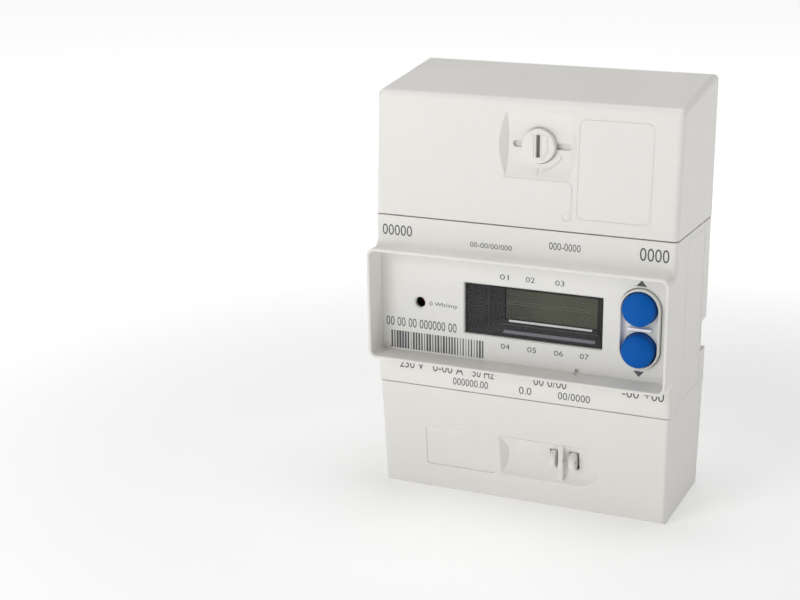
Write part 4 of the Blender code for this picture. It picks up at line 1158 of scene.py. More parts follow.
    def build(self, palette: Palette) -> None:
        """Build and dress the cover."""
        shell = self.shell()
        self.fastener_place(shell)
        self.marks(shell)
        self.ribs(shell)
        show(shell.smoothed(), palette, Slot.HOUSING, "upper_cover", ("upper_cover",))


@dataclass
class Knob:
    """The quarter-turn knob with its coin slot and raised grips."""

    chamfer: float = 0.55
    neck: float = 4.5
    head: float = 2.5
    slot_width: float = 1.7
    slot_height: float = 8.7
    slot_depth: float = 1.6

    def build(self, palette: Palette) -> None:
        """Build and dress the knob."""
        x, z, front = KNOB.x.middle, KNOB.z.middle, KNOB.depth.low
        radius, back = KNOB.x.size / 2, KNOB.depth.high - front
        edge = [(radius - inset, rise) for inset, rise in fillet(self.chamfer, 5)]
        profile = [(0.0, 0.0)] + edge + [(radius, self.head), (self.neck, self.head), (self.neck, back),
                                         (1.3, back), (1.3, back - 4.0), (0.0, back - 4.0)]
        knob = Solid.turned("cover_knob_body", profile, Vector((x, front, z)), steps=128)
        slot = (Span.about(x, self.slot_width), Span.about(z, self.slot_height))
        grips = [Solid.prism("grip_left", rounded(Span(x - 3.9, x - 1.75), Span.about(z, 8.6), 0.5),
                             Span(front - 0.18, front + 0.5)),
                 Solid.prism("grip_right", ((x + 1.75, z - 4.3), (x + 3.9, z - 1.2), (x + 3.9, z + 4.3),
                                            (x + 1.75, z + 4.3)), Span(front - 0.18, front + 0.5)),
                 Solid.prism("grip_frame", rounded(*slot, 0.3, -0.5), Span(front - 0.14, front + 0.5)),
                 Solid.prism("turn_pointer", ribbon(((x + 1.3, z - 5.6), (x + 4.4, z - 1.4)), 0.5),
                             Span(front - 0.22, front + 0.5))]
        knob.join(*grips)
        knob.cut(Solid.loft("coin_slot", mouth(lambda inset: rounded(*slot, 0.25, inset),
                                               Span(front - 0.14, front + self.slot_depth), 0.12)))
        show(knob.smoothed(), palette, Slot.HOUSING, "knob", ("cover_knob",))
        floor = Solid.prism("coin_slot_floor", rounded(*slot, 0.25, 0.02),
                            Span(front + self.slot_depth - 0.12, front + self.slot_depth + 0.05))
        show(floor.smoothed(), palette, Slot.HOUSING, "knob", (), palette.trims["coin_slot_shade"])


# ---------------------------------------------------------------- middle housing


@dataclass
class MiddleHousing:
    """The middle housing: an open-backed box with the protruding picture-frame bezel."""

    edge: float = 1.8
    bezel_radius: float = 3.4
    bezel_edge: float = 0.55
    rim: float = 1.3
    cove: float = 2.8
    bottom_cove: float = 1.0
    ledge_width: float = 3.0
    ledge: Span = Span(4.1, 6.0)
    post_radius: float = 2.6
    panel_inset: float = 0.8
    panel_margin: float = 3.2
    panel_start: float = 17.0

    def __post_init__(self) -> None:
        """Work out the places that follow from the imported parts."""
        self.back = MIDDLE.depth.high
        self.front = MIDDLE.depth.low
        self.opening = (FACE.x.grown(GAP), FACE.z.grown(GAP))
        self.bezel_z = self.opening[1].grown(self.rim)
        self.bezel_x = Span(-HALF_WIDTH, HALF_WIDTH)
        self.screws = [middle_of(f"housing_screw_{index}") for index in range(1, 5)]
        self.posts = [middle_of(f"board_screw_{index}") for index in range(1, 5)]

    def bezel(self) -> Solid:
        """The frame, rounded at the front and swept into the housing above and below."""
        sections = rimmed(lambda inset: rounded(self.bezel_x, self.bezel_z, self.bezel_radius, inset, 8),
                          Span(self.front, -self.cove - 0.01), self.bezel_edge)
        for step in range(9):
            turn = math.pi / 2 * step / 8
            share = 1 - math.cos(turn)
            z = Span(self.bezel_z.low - self.bottom_cove * share, self.bezel_z.high + self.cove * share)
            outline = rounded(self.bezel_x, z, self.bezel_radius, 0.0, 8)
            sections.append((outline, self.cove * (math.sin(turn) - 1)))
        sections.append((sections[-1][0], self.edge + 0.4))
        return Solid.loft("bezel", sections)

    def shell(self) -> Solid:
        """The box and the bezel, with the collar behind it, hollowed and opened."""
        def outer(right: bool, back: bool, top: bool) -> tuple[float, float, float]:
            """A corner of the outside."""
            return (HALF_WIDTH if right else -HALF_WIDTH, self.back if back else 0.0,
                    MIDDLE_Z.high if top else MIDDLE_Z.low)

        half = HALF_WIDTH - WALL
        shell = Solid.hexahedron("middle_housing", outer, self.edge, lambda x, y, z: z == 0 and y < 0)
        shell.cut(Solid.box("inside", Span(-half, half), Span(WALL, self.back + 1.0), MIDDLE_Z.grown(-WALL)))
        shell.join(Solid.box("collar", Span(-half - GAP, half + GAP), Span(WALL - 1.0, self.ledge.high),
                             self.opening[1].grown(WALL)), self.bezel())
        length = self.ledge.high
        board = node_box("main_board").depth.low - GAP
        for index, (x, z) in enumerate(self.posts):
            shell.join(Solid.rod(f"post_{index}", self.post_radius, Span(-1.0, board - length),
                                 Vector((x, length, z)), steps=32))
        return shell

    def tabs(self, shell: Solid) -> None:
        """The hidden screw tabs behind the two covers."""
        for index, (x, z) in enumerate(self.screws):
            inward = -1.0 if z > UPPER_SEAM else 1.0
            reach = sorted((z + inward * 5.6, z - inward * 4.6))
            shell.join(Solid.prism(f"tab_{index}", rounded(Span.about(x, 9.0), Span(*reach), 1.0),
                                   Span(self.back - 2.4, self.back)))
            shell.cut(Solid.rod(f"tab_bore_{index}", SCREW_BORE, Span(-4.0, 1.0), Vector((x, self.back, z)),
                                steps=32))

    def openings(self, shell: Solid) -> None:
        """Cut the bezel's opening, the ledge, the side panels and the slots for the bars."""
        buttons = node_box("button_surround")
        radius = buttons.x.size / 2
        centres = buttons.z.size - 2 * radius
        ledge_x, ledge_z = self.opening[0].grown(-self.ledge_width), self.opening[1].grown(-self.ledge_width)
        deep = Span(self.ledge.low - 1.0, self.ledge.high + 0.2)
        shell.cut(
            Solid.loft("opening", mouth(
                lambda inset: rounded(*self.opening, self.bezel_radius - self.rim, inset, 8),
                Span(self.front, self.ledge.low), self.bezel_edge)),
            Solid.prism("ledge_opening", rounded(ledge_x, ledge_z, 1.0), deep),
            Solid.prism("ledge_buttons", slot_outline(buttons.x.middle, buttons.z.middle, centres + 0.9,
                                                      radius + GAP), deep))
        for index, (x, z) in enumerate(self.posts):
            shell.cut(Solid.rod(f"post_bore_{index}", BOARD_BORE, Span(0.3, 9.0),
                                Vector((x, self.ledge.high, z))))
        panel_z = MIDDLE_Z.grown(-self.panel_margin)
        for side in (-1, 1):
            def corner(right: bool, back: bool, top: bool) -> tuple[float, float, float]:
                """A corner of a side panel's cutter, flared at the surface."""
                outside = right == (side > 0)
                flare = 0.55 if outside else 0.0
                x = side * (HALF_WIDTH + 0.01 if outside else HALF_WIDTH - self.panel_inset)
                depth = self.back - self.panel_inset + flare * 0.3 if back else self.panel_start - flare
                return (x, depth, panel_z.high + flare if top else panel_z.low - flare)
            shell.cut(Solid.hexahedron(f"side_panel_{side}", corner, 0.7, lambda x, y, z: x == 0, 4))
        for index in range(1, 5):
            cage = node_box(f"terminal_cage_{index}")
            bar = node_box(("phase_bar_in", "phase_bar_out")[index % 2])
            shell.cut(Solid.box(f"bar_slot_{index}", Span.about(cage.x.middle, 6.4),
                                Span(bar.depth.low, bar.depth.low + 1.5).grown(GAP),
                                Span(MIDDLE_Z.low - 1.0, MIDDLE_Z.low + WALL + 1.0)))

    def seam_lines(self, shell: Solid) -> None:
        """The small vent by the lower inner wall and the moulding lines on the sides."""
        shell.cut(Solid.rod("vent", 0.95, Span(-1.1, 1.0),
                            Vector((VENT[0], FACE.depth.low - 0.9, self.opening[1].low))))
        for side in (-1, 1):
            x = sorted((side * (HALF_WIDTH - 0.22), side * (HALF_WIDTH + 1.0)))
            line = ribbon(((7.0, MIDDLE_Z.low - 1.0), (11.5, MIDDLE_Z.low + 3.0)), 0.45)
            shell.cut(Solid.prism(f"mould_line_{side}", line, Span(*x), Axis.X))

    def build(self, palette: Palette) -> None:
        """Build and dress the housing."""
        shell = self.shell()
        self.tabs(shell)
        self.openings(shell)
        self.seam_lines(shell)
        show(shell.smoothed(), palette, Slot.HOUSING, "housing", ("main_cover",))


@dataclass
class BackShell:
    """The rear shell: a shallow tray with a plate behind both covers, its holes and its sunk fields."""

    plate: float = 2.5
    edge: float = 0.9
    notch: Span = Span(61.5, 74.5)
    notch_inset: float = 5.0
    notch_depth: float = 8.0
    boss: float = 3.9
    post: float = 2.6
    keyhole: float = 4.5
    keyhole_slot: float = 5.0
    keyhole_rise: float = 8.0
    field_depth: float = 0.7
    field_width: float = 34.0
    field_columns: tuple[float, ...] = (-37.0, 0.0, 37.0)
    field_rows: tuple[Span, ...] = (Span(52.0, 82.0), Span(85.0, 112.0), Span(120.0, 148.0))
    mark_rows: tuple[tuple[float, Point], ...] = ((34.0, (50.0, 18.0)), (160.0, (50.0, 25.0)))
    fixing_z: float = 14.0

    def __post_init__(self) -> None:
        """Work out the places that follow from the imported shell."""
        self.box = node_box("base_shell")
        self.front, self.back = MIDDLE.depth.high + GAP, self.box.depth.high
        self.plate_front = self.back - self.plate
        self.screws = MiddleHousing().screws
        self.lower_half = LOWER.x.high - PLATE_TAPER - WALL - 2 * GAP
        self.upper_half = HALF_WIDTH - WALL - GAP

    def bore(self, name: str, x: float, z: float, radius: float, reach: Span, lip: float = 0.0) -> Solid:
        """A round cutter through the shell, flared where it comes out at the back."""
        wide = radius + lip
        profile = [(0.0, reach.low), (radius, reach.low), (radius, self.back - lip), (wide, self.back),
                   (wide, reach.high), (0.0, reach.high)]
        return Solid.turned(name, profile, Vector((x, 0.0, z)), steps=48)

    def tray(self) -> Solid:
        """The tray and the two plates, hollowed in front."""
        def outer(right: bool, back: bool, top: bool) -> tuple[float, float, float]:
            """A corner of the tray."""
            return (HALF_WIDTH if right else -HALF_WIDTH, self.back if back else self.front,
                    MIDDLE_Z.high if top else MIDDLE_Z.low)

        tray = Solid.hexahedron("back_shell", outer, self.edge, lambda x, y, z: z == 0 and y > 0, 5)
        plates = {"upper_plate": (self.upper_half, Span(MIDDLE_Z.high - WALL, self.box.z.high)),
                  "lower_plate": (self.lower_half, Span(self.box.z.low, MIDDLE_Z.low + WALL))}
        tray.join(*[Solid.prism(name, rounded(Span(-half, half), z, 1.0), Span(self.plate_front, self.back))
                    for name, (half, z) in plates.items()])
        return tray.cut(Solid.box("tray_hollow", Span(-self.upper_half, self.upper_half),
                                  Span(self.front - 1.0, self.plate_front), MIDDLE_Z.grown(-WALL)))

    def fixings(self, tray: Solid) -> None:
        """The notches, screw bosses, board posts, keyhole and fixing holes."""
        wall_z = self.notch.grown(WALL)
        inner = HALF_WIDTH - self.notch_inset
        for side in (-1, 1):
            wall = sorted((side * (inner - WALL), side * (self.upper_half + GAP)))
            tray.join(Solid.box(f"notch_wall_{side}", Span(*wall), Span(self.front, self.plate_front + GAP),
                                wall_z))
            hollow = sorted((side * inner, side * (HALF_WIDTH + 1.0)))
            tray.cut(Solid.box(f"notch_{side}", Span(*hollow),
                               Span(self.back - self.notch_depth, self.back + 1.0), self.notch))
        for index, (x, z) in enumerate(self.screws):
            reach = Span(self.front, self.back - GAP)
            tray.join(self.bore(f"boss_{index}", x, z, self.boss, reach))
            tray.cut(self.bore(f"boss_bore_{index}", x, z, SCREW_BORE,
                               Span(self.front - 1.0, self.plate_front - 1.0)))
        for index in (1, 2):
            place, board = middle_of(f"power_board_screw_{index}"), node_box("power_board")
            tray.join(self.bore(f"post_{index}", *place, self.post,
                                Span(board.depth.high + GAP, self.plate_front + GAP)))
            tray.cut(self.bore(f"post_bore_{index}", *place, BOARD_BORE,
                               Span(board.depth.high, self.plate_front)))
        key_z = self.box.z.high - 15.0
        through = Span(self.plate_front - 1.0, self.back + 1.0)
        slot = (Span.about(0.0, self.keyhole_slot), Span(key_z, key_z + self.keyhole_rise))
        tray.cut(self.bore("keyhole", 0.0, key_z, self.keyhole, through, 0.5),
                 Solid.prism("keyhole_slot", rounded(*slot, self.keyhole_slot * 0.45), through))
        for side in (-1, 1):
            tray.cut(self.bore(f"fixing_{side}", side * self.screws[0][0], self.fixing_z, 1.9, through, 0.6))

    def fields(self, tray: Solid) -> None:
        """Shallow sunk fields with webs between them, and the round moulding marks."""
        tools, past = [], self.back + 1.0
        for x_index, x in enumerate(self.field_columns):
            for z_index, z in enumerate(self.field_rows):
                outline, wide = (rounded(Span.about(x, self.field_width), z, 2.0, inset)
                                 for inset in (0.0, -0.5))
                tools.append(Solid.loft(f"field_{x_index}_{z_index}", (
                    (outline, self.back - self.field_depth), (wide, self.back), (wide, past))))
        marks = [(side * x, z) for z, row in self.mark_rows for x in row for side in (-1, 1)]
        tools += [self.bore(f"mark_{index}", x, z, 2.4, Span(self.back - 0.2, past))
                  for index, (x, z) in enumerate(marks)]
        tray.cut(*tools)

    def build(self, palette: Palette) -> None:
        """Build and dress the shell."""
        tray = self.tray()
        self.fixings(tray)
        self.fields(tray)
        show(tray.smoothed(), palette, Slot.HOUSING, "housing", ("base_shell",))


# ---------------------------------------------------------------- lower cover


@dataclass
class LowerCover:
    """The tapering lower cover with its sealing hollow, rib, frame and cable slot."""

    lean: float = 3.0
    inset: float = 0.4
    taper: float = PLATE_TAPER
    edge: float = 1.8
    recess: Span = Span(-9.0, 25.2)
    recess_height: float = 16.8
    recess_z: float = 19.6
    recess_depth: float = 3.0
    rib: Span = Span(16.4, 18.6)
    rib_height: float = 15.0
    ears: tuple[float, float] = (13.0, 21.3)
    ear_thickness: float = 2.4
    ear_radius: float = 3.7
    ear_margin: float = 0.9
    frame_x: Span = Span(-42.0, -12.0)
    frame_z: Span = Span(11.3, 27.7)
    field_depth: float = 0.42
    bead_rise: float = 0.14
    cable_width: float = 92.0

    def __post_init__(self) -> None:
        """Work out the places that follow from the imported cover."""
        self.top = LOWER.z.high
        self.back = LOWER.depth.high
        self.half = LOWER.x.high
        self.ear_z = EARS.z.middle
        self.hollow = Hollow(self.recess, self.recess_z, self.recess_height, self.recess_depth,
                             self.front(0.0, self.recess_z), 0.0)

    def front(self, _: float, z: float) -> float:
        """Depth of the leaning front at a height."""
        return self.inset + (self.lean - self.inset) * (self.top - z) / self.top

    def shell(self) -> Solid:
        """The outer form, hollowed from above and behind."""
        def outer(right: bool, back: bool, top: bool) -> tuple[float, float, float]:
            """A corner of the outside."""
            side = self.half if top else self.half - self.taper
            depth = self.back if back else (self.inset if top else self.lean)
            return (side if right else -side, depth, self.top if top else 0.0)

        def inner(right: bool, back: bool, top: bool) -> tuple[float, float, float]:
            """A corner of the inside."""
            side = (self.half if top else self.half - self.taper) - WALL
            depth = self.back + 1.0 if back else (self.inset if top else self.lean) + WALL
            return (side if right else -side, depth, self.top + 1.0 if top else WALL)

        shell = Solid.hexahedron("lower_cover_shell", outer, self.edge,
                                 lambda x, y, z: (z == 0 and y < 0) or (z < 0 and y < 0))
        return shell.cut(Solid.hexahedron("lower_inside", inner, 1.0, lambda x, y, z: y < 0, 4))

    def seal_place(self, shell: Solid) -> None:
        """Scoop the sealing hollow, with its rib and the slots for the ears."""
        chord = self.recess_height / 2
        floor = self.front(0.0, self.recess_z) + self.recess_depth
        rib_top = self.recess_z + chord
        slot_z = Span.about(self.ear_z, 2 * (self.ear_radius + GAP))
        shell.join(Solid.box("seal_backing", Span(self.recess.low - WALL, self.recess.high + chord + WALL),
                             Span(floor - self.recess_depth + WALL / 2, floor + WALL),
                             Span.about(self.recess_z, self.recess_height + WALL)))
        shell.cut(self.hollow.capped_cutter("seal_hollow"))
        rib_z = Span(rib_top - self.rib_height, rib_top + GAP)
        rib = Solid.loft("seal_rib", rimmed(lambda inset: rounded(self.rib, rib_z, 0.35, inset, 3),
                                            Span(self.front(0.0, rib_top), floor + GAP), 0.3))
        foot = Solid.prism("rib_foot", rounded(self.rib, Span.about(rib_z.low + 1.0, 2.0), 0.3, 0.0, 3),
                           Span(self.front(0.0, rib_z.low) + 0.2, floor + GAP))
        shell.join(rib, foot)
        for index, x in enumerate(self.ears):
            slot = Span(x, x + self.ear_thickness).grown(self.ear_margin)
            shell.cut(Solid.prism(f"ear_slot_{index}", rounded(slot, slot_z, 0.6),
                                  Span(self.front(0.0, self.ear_z) - 1.0, floor + WALL + 1.0)))
        shell.cut(Solid.rod("wire_hole", SEAL_WIRE_BORE, self.rib.grown(GAP),
                            Vector((0.0, self.front(0.0, self.ear_z) + SEAL_WIRE_DEPTH, self.ear_z)), Axis.X))

    def marks(self, shell: Solid) -> None:
        """The sunk label field and the cable slot in the floor."""
        wide, frame_edge = (rounded(self.frame_x, self.frame_z, 0.7, inset) for inset in (-0.4, 0.0))
        field = Solid.loft("label_field", [(wide, -0.4), (wide, 0.0), (frame_edge, self.field_depth)])
        shell.cut(field.bent(self.front))
        slot = Span.about(0.0, self.cable_width), Span(self.back - 32.0, self.back - 5.0)
        shell.cut(Solid.prism("cable_slot", rounded(*slot, 2.0), Span(-1.0, WALL + 1.0), Axis.Z))

    def beads(self, palette: Palette) -> None:
        """Lay the shiny raised beads along the label field and round the hollow; their whiter plastic is a
        painted highlight.
        """
        chord = self.recess_height / 2
        low, high, end = self.recess_z - chord, self.recess_z + chord, (self.recess.high, self.recess_z)
        frame_low, frame_high = self.frame_z.low - 0.5, self.frame_z.high + 0.55
        under = [(self.recess.low - 0.4, low - 0.3), (self.recess.high, low - 0.3)]
        left, side, right = self.frame_x.low - 0.4, self.frame_x.low - 0.5, self.frame_x.high + 0.4
        bold, fine = 0.36, 0.26
        paths = {
            "frame_top": ([(left, frame_high), (right, frame_high)], bold),
            "frame_foot": ([(left, frame_low), (right, frame_low)], fine),
            "frame_side": ([(side, frame_low), (side, frame_high)], fine),
            "hollow_top": ([(self.recess.low - 0.2, high + 0.2), (self.rib.low - 0.5, high + 0.2)], bold),
            "hollow_shoulder": ([(self.rib.high + 0.7, high + 0.2)] + arc(end, chord + 0.2, 90, 62, 6), bold),
            "hollow_foot": (under + arc(end, chord + 0.3, -90, 10, 20)[1:], 0.3)}
        # Each bead takes the whiter plastic as a painted highlight.
        for name, (path, width) in paths.items():
            bead = Solid.prism(f"bead_{name}", ribbon(path, width), Span(-self.bead_rise, 0.4))
            bead = bead.bent(self.front)
            show(bead.smoothed(), palette, Slot.HOUSING, "lower_cover", (), palette.trims["painted_highlight_rim"])

    def build(self, palette: Palette) -> None:
        """Build and dress the cover."""
        shell = self.shell()
        self.seal_place(shell)
        self.marks(shell)
        show(shell.smoothed(), palette, Slot.HOUSING, "lower_cover", ("lower_cover",))
        self.beads(palette)


@dataclass
class SealEars:
    """The two ears for the sealing wire, on a plate behind the lower cover."""

    ears: tuple[float, float] = (13.0, 21.3)
    thickness: float = 2.4
    radius: float = 3.7
    rounding: float = 0.4

    def build(self, palette: Palette) -> None:
        """Build and dress the ears."""
        z, plate = EARS.z.middle, Span(EARS.depth.high - 2.0, EARS.depth.high)
        lug = Solid.prism("seal_ears", rounded(EARS.x, EARS.z, 0.6), plate)
        middle = EARS.depth.low + self.radius
        edge = [(self.radius - inset, rise) for inset, rise in fillet(self.rounding, 4)]
        for index, x in enumerate(self.ears):
            far_edge = [(radius, self.thickness - rise) for radius, rise in reversed(edge)]
            profile = [(0.0, 0.0)] + edge + far_edge + [(0.0, self.thickness)]
            stem = Solid.box(f"stem_{index}", Span(x + 0.1, x + self.thickness - 0.1),
                             Span(middle, plate.low + 1.0), Span.about(z, self.radius * 1.6))
            lug.join(Solid.turned(f"ear_{index}", profile, Vector((x, middle, z)), Axis.X, 72), stem)
        depth = LowerCover().front(0.0, z) + SEAL_WIRE_DEPTH
        lug.cut(Solid.rod("wire_hole", SEAL_WIRE_BORE, EARS.x.grown(1.0), Vector((0.0, depth, z)), Axis.X))
        show(lug.smoothed(), palette, Slot.HOUSING, "housing", ("seal_lug",))


# ---------------------------------------------------------------- front panel


@dataclass
class FacePlate:
    """The grey insert inside the bezel with its window, lamp and button openings."""

    corner: float = 2.1
    window_flare: float = 0.5
    lamp_radius: float = 2.2
    fit: float = 0.26

    def build(self, palette: Palette) -> None:
        """Build and dress the plate."""
        lamp, buttons = node_box("pulse_lamp"), node_box("button_surround")
        window = (WINDOW.x.grown(GAP), WINDOW.z.grown(GAP))
        radius = buttons.x.size / 2
        edge = (FACE.x.grown(self.fit), FACE.z.grown(self.fit))
        plate = Solid.loft("face_panel", rimmed(lambda inset: rounded(*edge, self.corner, inset, 8),
                                                FACE.depth, 0.05))
        dish = [(0.0, -1.0), (self.lamp_radius + 0.6, -1.0), (self.lamp_radius + 0.6, 0.0),
                (self.lamp_radius, 0.45), (self.lamp_radius, 3.0), (0.0, 3.0)]
        wide, narrow = (rounded(*window, 0.3, inset) for inset in (-self.window_flare, 0.0))
        plate.cut(
            Solid.loft("window_opening", [(wide, FACE.depth.low - 1.0), (wide, FACE.depth.low),
                                          (narrow, FACE.depth.low + self.window_flare * 0.8),
                                          (narrow, FACE.depth.high + 1.0)]),
            Solid.turned("lamp_opening", dish, Vector((lamp.x.middle, FACE.depth.low, lamp.z.middle)),
                         steps=48),
            Solid.prism("button_opening", slot_outline(buttons.x.middle, buttons.z.middle,
                                                       buttons.z.size - 2 * radius, radius + GAP),
                        FACE.depth.grown(1.0)),
            Solid.rod("vent", 0.85, Span(-1.0, 1.2), Vector((VENT[0], FACE.depth.low, VENT[1]))))
        show(plate.smoothed(), palette, Slot.FACE, "housing", ("face_plate",))


@dataclass
class Display:
    """The window, the black mask behind it, the display cell, and the strips below it whose colours paint a
    highlight and reflections on the mask's floor.
    """

    mask: NodeBox = node_box("display_mask")
    cell: NodeBox = node_box("lcd_glass")
    view_margin: float = 2.9

    def funnel(self, share: float) -> tuple[float, float]:
        """Depth and lower height of the mask's sloping floor, from its mouth (0) to the cell (1)."""
        low = WINDOW.z.low - GAP
        back = self.cell.z.low + self.view_margin
        return (self.mask.depth.low + self.mask.depth.size * share, low + (back - low) * share)

    def build_mask(self, palette: Palette) -> None:
        """The mask with its four sloping walls and a step at its mouth."""
        view = (self.cell.x.grown(-self.view_margin), self.cell.z.grown(-self.view_margin))
        window = (WINDOW.x.grown(GAP), WINDOW.z.grown(GAP))
        mask = Solid.prism("display_surround", rounded(self.mask.x, self.mask.z, 0.5), self.mask.depth)
        mask.cut(Solid.loft("funnel", [(rounded(*window, 0.2, 0.0, 2), self.mask.depth.low - 0.2),
                                       (rounded(*window, 0.2, 0.5, 2), self.mask.depth.low + 0.15),
                                       (rounded(*view, 0.2, -0.4, 2), self.mask.depth.high - 0.5),
                                       (rounded(*view, 0.2, 0.0, 2), self.mask.depth.high + 0.2)]))
        show(mask.smoothed(), palette, Slot.MASK, "housing", ("display_mask",))

    def strip(self, name: str, x: Span, reach: Point, lift: float, palette: Palette) -> None:
        """A long slab on the mask's sloping floor, whose colour paints a reflection on the slope.

        Args:
            name: The piece's name, which also gives its finish.
            x: Where it runs.
            reach: Where it starts and ends on the slope, from 0 at the window to 1 at the cell.
            lift: How far it stands above the slope.
            palette: The finishes.
        """
        near, far = (self.funnel(share) for share in reach)
        profile = [(near[0] + 0.3, near[1] - 0.2), (near[0], near[1] + lift), (far[0] - 0.15, far[1] + lift),
                   (far[0] + 0.3, far[1] - 0.2)]
        finish = palette.trims[name.replace("shelf", "edge")]
        show(Solid.prism(name, profile, x, Axis.X).smoothed(), palette, Slot.MASK, "housing", (), finish)

    def build(self, palette: Palette) -> None:
        """Build and dress the display."""
        window = Solid.loft("display_pane", rimmed(lambda inset: rounded(WINDOW.x, WINDOW.z, 0.3, inset, 3),
                                                   WINDOW.depth, 0.15))
        show(window.smoothed(), palette, Slot.WINDOW, "housing", ("display_window",))
        self.build_mask(palette)
        cell = Solid.loft("display_cell", rimmed(
            lambda inset: rounded(self.cell.x, self.cell.z, 0.2, inset, 2), self.cell.depth, 0.15))
        show(cell.smoothed(), palette, Slot.LCD, "housing", ("lcd_glass",))
        lit = Span(self.cell.x.low + 4.5, self.cell.x.high - 4.6)
        # A painted highlight near the cell and painted reflections further out on the mask's floor.
        strips = (("light_edge", lit, (0.76, 0.88), 0.6),
                  ("grey_shelf", Span(lit.low - 3.0, lit.high + 2.6), (0.42, 0.68), 0.2),
                  ("pale_shelf", Span(lit.low - 1.5, lit.high + 2.0), (0.1, 0.34), 0.2))
        for name, x, reach, lift in strips:
            self.strip(f"display_{name}", x, reach, lift, palette)
        # A thin grey line on the black mask's wall: a painted reflection.
        x, low, high = WINDOW.x.low + 9.0, WINDOW.z.low + 1.2, WINDOW.z.high - 1.0
        rib = Solid.prism("display_side_rib", ((x, low), (x + 0.25, low), (x + 0.25, high), (x, high)),
                          Span(self.mask.depth.low + 1.2, self.mask.depth.high - 0.4))
        show(rib.smoothed(), palette, Slot.MASK, "housing", (), palette.trims["display_grey_edge"])


@dataclass
class Lamp:
    """The round-nosed pulse lamp."""

    flange: float = 1.0

    def build(self, palette: Palette) -> None:
        """Build and dress the lamp."""
        place = node_box("pulse_lamp")
        wide, nose = place.x.size / 2, place.x.size / 2 - 0.4
        dome = [(nose * math.sin(turn), nose * (1 - math.cos(turn))) for turn in
                (math.pi / 2 * step / 10 for step in range(11))]
        length = place.depth.size
        rim = length - self.flange
        profile = dome + [(nose, rim), (wide, rim), (wide, length), (0.0, length)]
        lamp = Solid.turned("pulse_lamp_body", profile,
                            Vector((place.x.middle, place.depth.low, place.z.middle)), steps=48)
        show(lamp.smoothed(), palette, Slot.LAMP, "housing", ("pulse_lamp",))


@dataclass
class Buttons:
    """The raised surround, the white bar in it and the two blue domes."""

    crown: float = 2.2
    rounding: float = 0.5
    flange: float = 1.3
    flange_depth: float = 4.3
    flange_thickness: float = 1.0
    bar_size: Point = (9.6, 1.2)
    stem: float = 2.0
    wall: float = 0.9
    clearance: float = 0.35

    def dome(self, radius: float) -> list[Point]:
        """The dome's profile: a shallow cap whose rim is rounded over."""
        sphere = (radius ** 2 + self.crown ** 2) / (2 * self.crown)
        edge = math.asin((radius - self.rounding) / sphere)
        cap = [(sphere * math.sin(edge * step / 14), sphere * (1 - math.cos(edge * step / 14)))
               for step in range(15)]
        top = cap[-1][1]
        turns = [edge + (math.pi / 2 - edge) * step / 6 for step in range(1, 7)]
        bend = self.rounding / (1 - math.sin(edge))
        centre = radius - bend
        start = bend * math.cos(edge)
        return cap + [(centre + bend * math.sin(turn), top + start - bend * math.cos(turn)) for turn in turns]

    def build(self, palette: Palette) -> None:
        """Build and dress the surround and both buttons."""
        place = node_box("button_surround")
        caps = {name: node_box(f"button_{name}") for name in ("select", "scroll")}
        radius, x, z = place.x.size / 2, place.x.middle, place.z.middle
        centres = place.z.size - 2 * radius
        cap_radius = caps["select"].x.size / 2 - self.flange
        floor = place.depth.high - 1.5
        frame = Solid.loft("button_frame", rimmed(lambda inset: slot_outline(x, z, centres, radius, inset),
                                                  place.depth, 0.42))
        frame.cut(Solid.loft("frame_recess", mouth(
            lambda inset: slot_outline(x, z, centres, radius - self.wall, inset),
            Span(place.depth.low, floor), 0.35)))
        for name, cap in caps.items():
            hole = cap_radius + self.clearance
            frame.cut(Solid.rod(f"hole_{name}", hole, Span(-6.0, 3.0), Vector((x, floor, cap.z.middle)),
                                steps=96))
        show(frame.smoothed(), palette, Slot.FACE, "housing", ("button_surround",))
        bar_edge = (Span.about(x, self.bar_size[0]), Span.about(z, self.bar_size[1]))
        bar = Solid.loft("button_bar", rimmed(lambda inset: rounded(*bar_edge, 0.58, inset),
                                              Span(place.depth.low + GAP, place.depth.high - 2 * GAP), 0.3))
        show(bar.smoothed(), palette, Slot.FACE, "housing", (), palette.trims["button_bar_white"])
        for name, cap in caps.items():
            front = cap.depth.low
            flange = self.flange_depth - front
            back = flange + self.flange_thickness
            end = cap.depth.high - front
            profile = self.dome(cap_radius) + [
                (cap_radius, flange), (cap_radius + self.flange, flange), (cap_radius + self.flange, back),
                (self.stem, back), (self.stem, end), (0.0, end)]
            button = Solid.turned(f"button_{name}_cap", profile, Vector((x, front, cap.z.middle)), steps=96)
            show(button.smoothed(), palette, Slot.BUTTON, f"button_{name}", (f"button_{name}",))


# ---------------------------------------------------------------- printed marks


@dataclass(frozen=True)
class Mark:
    """One printed group of generic signs."""

    name: str
    signs: str
    x: Span
    z: float
    height: float


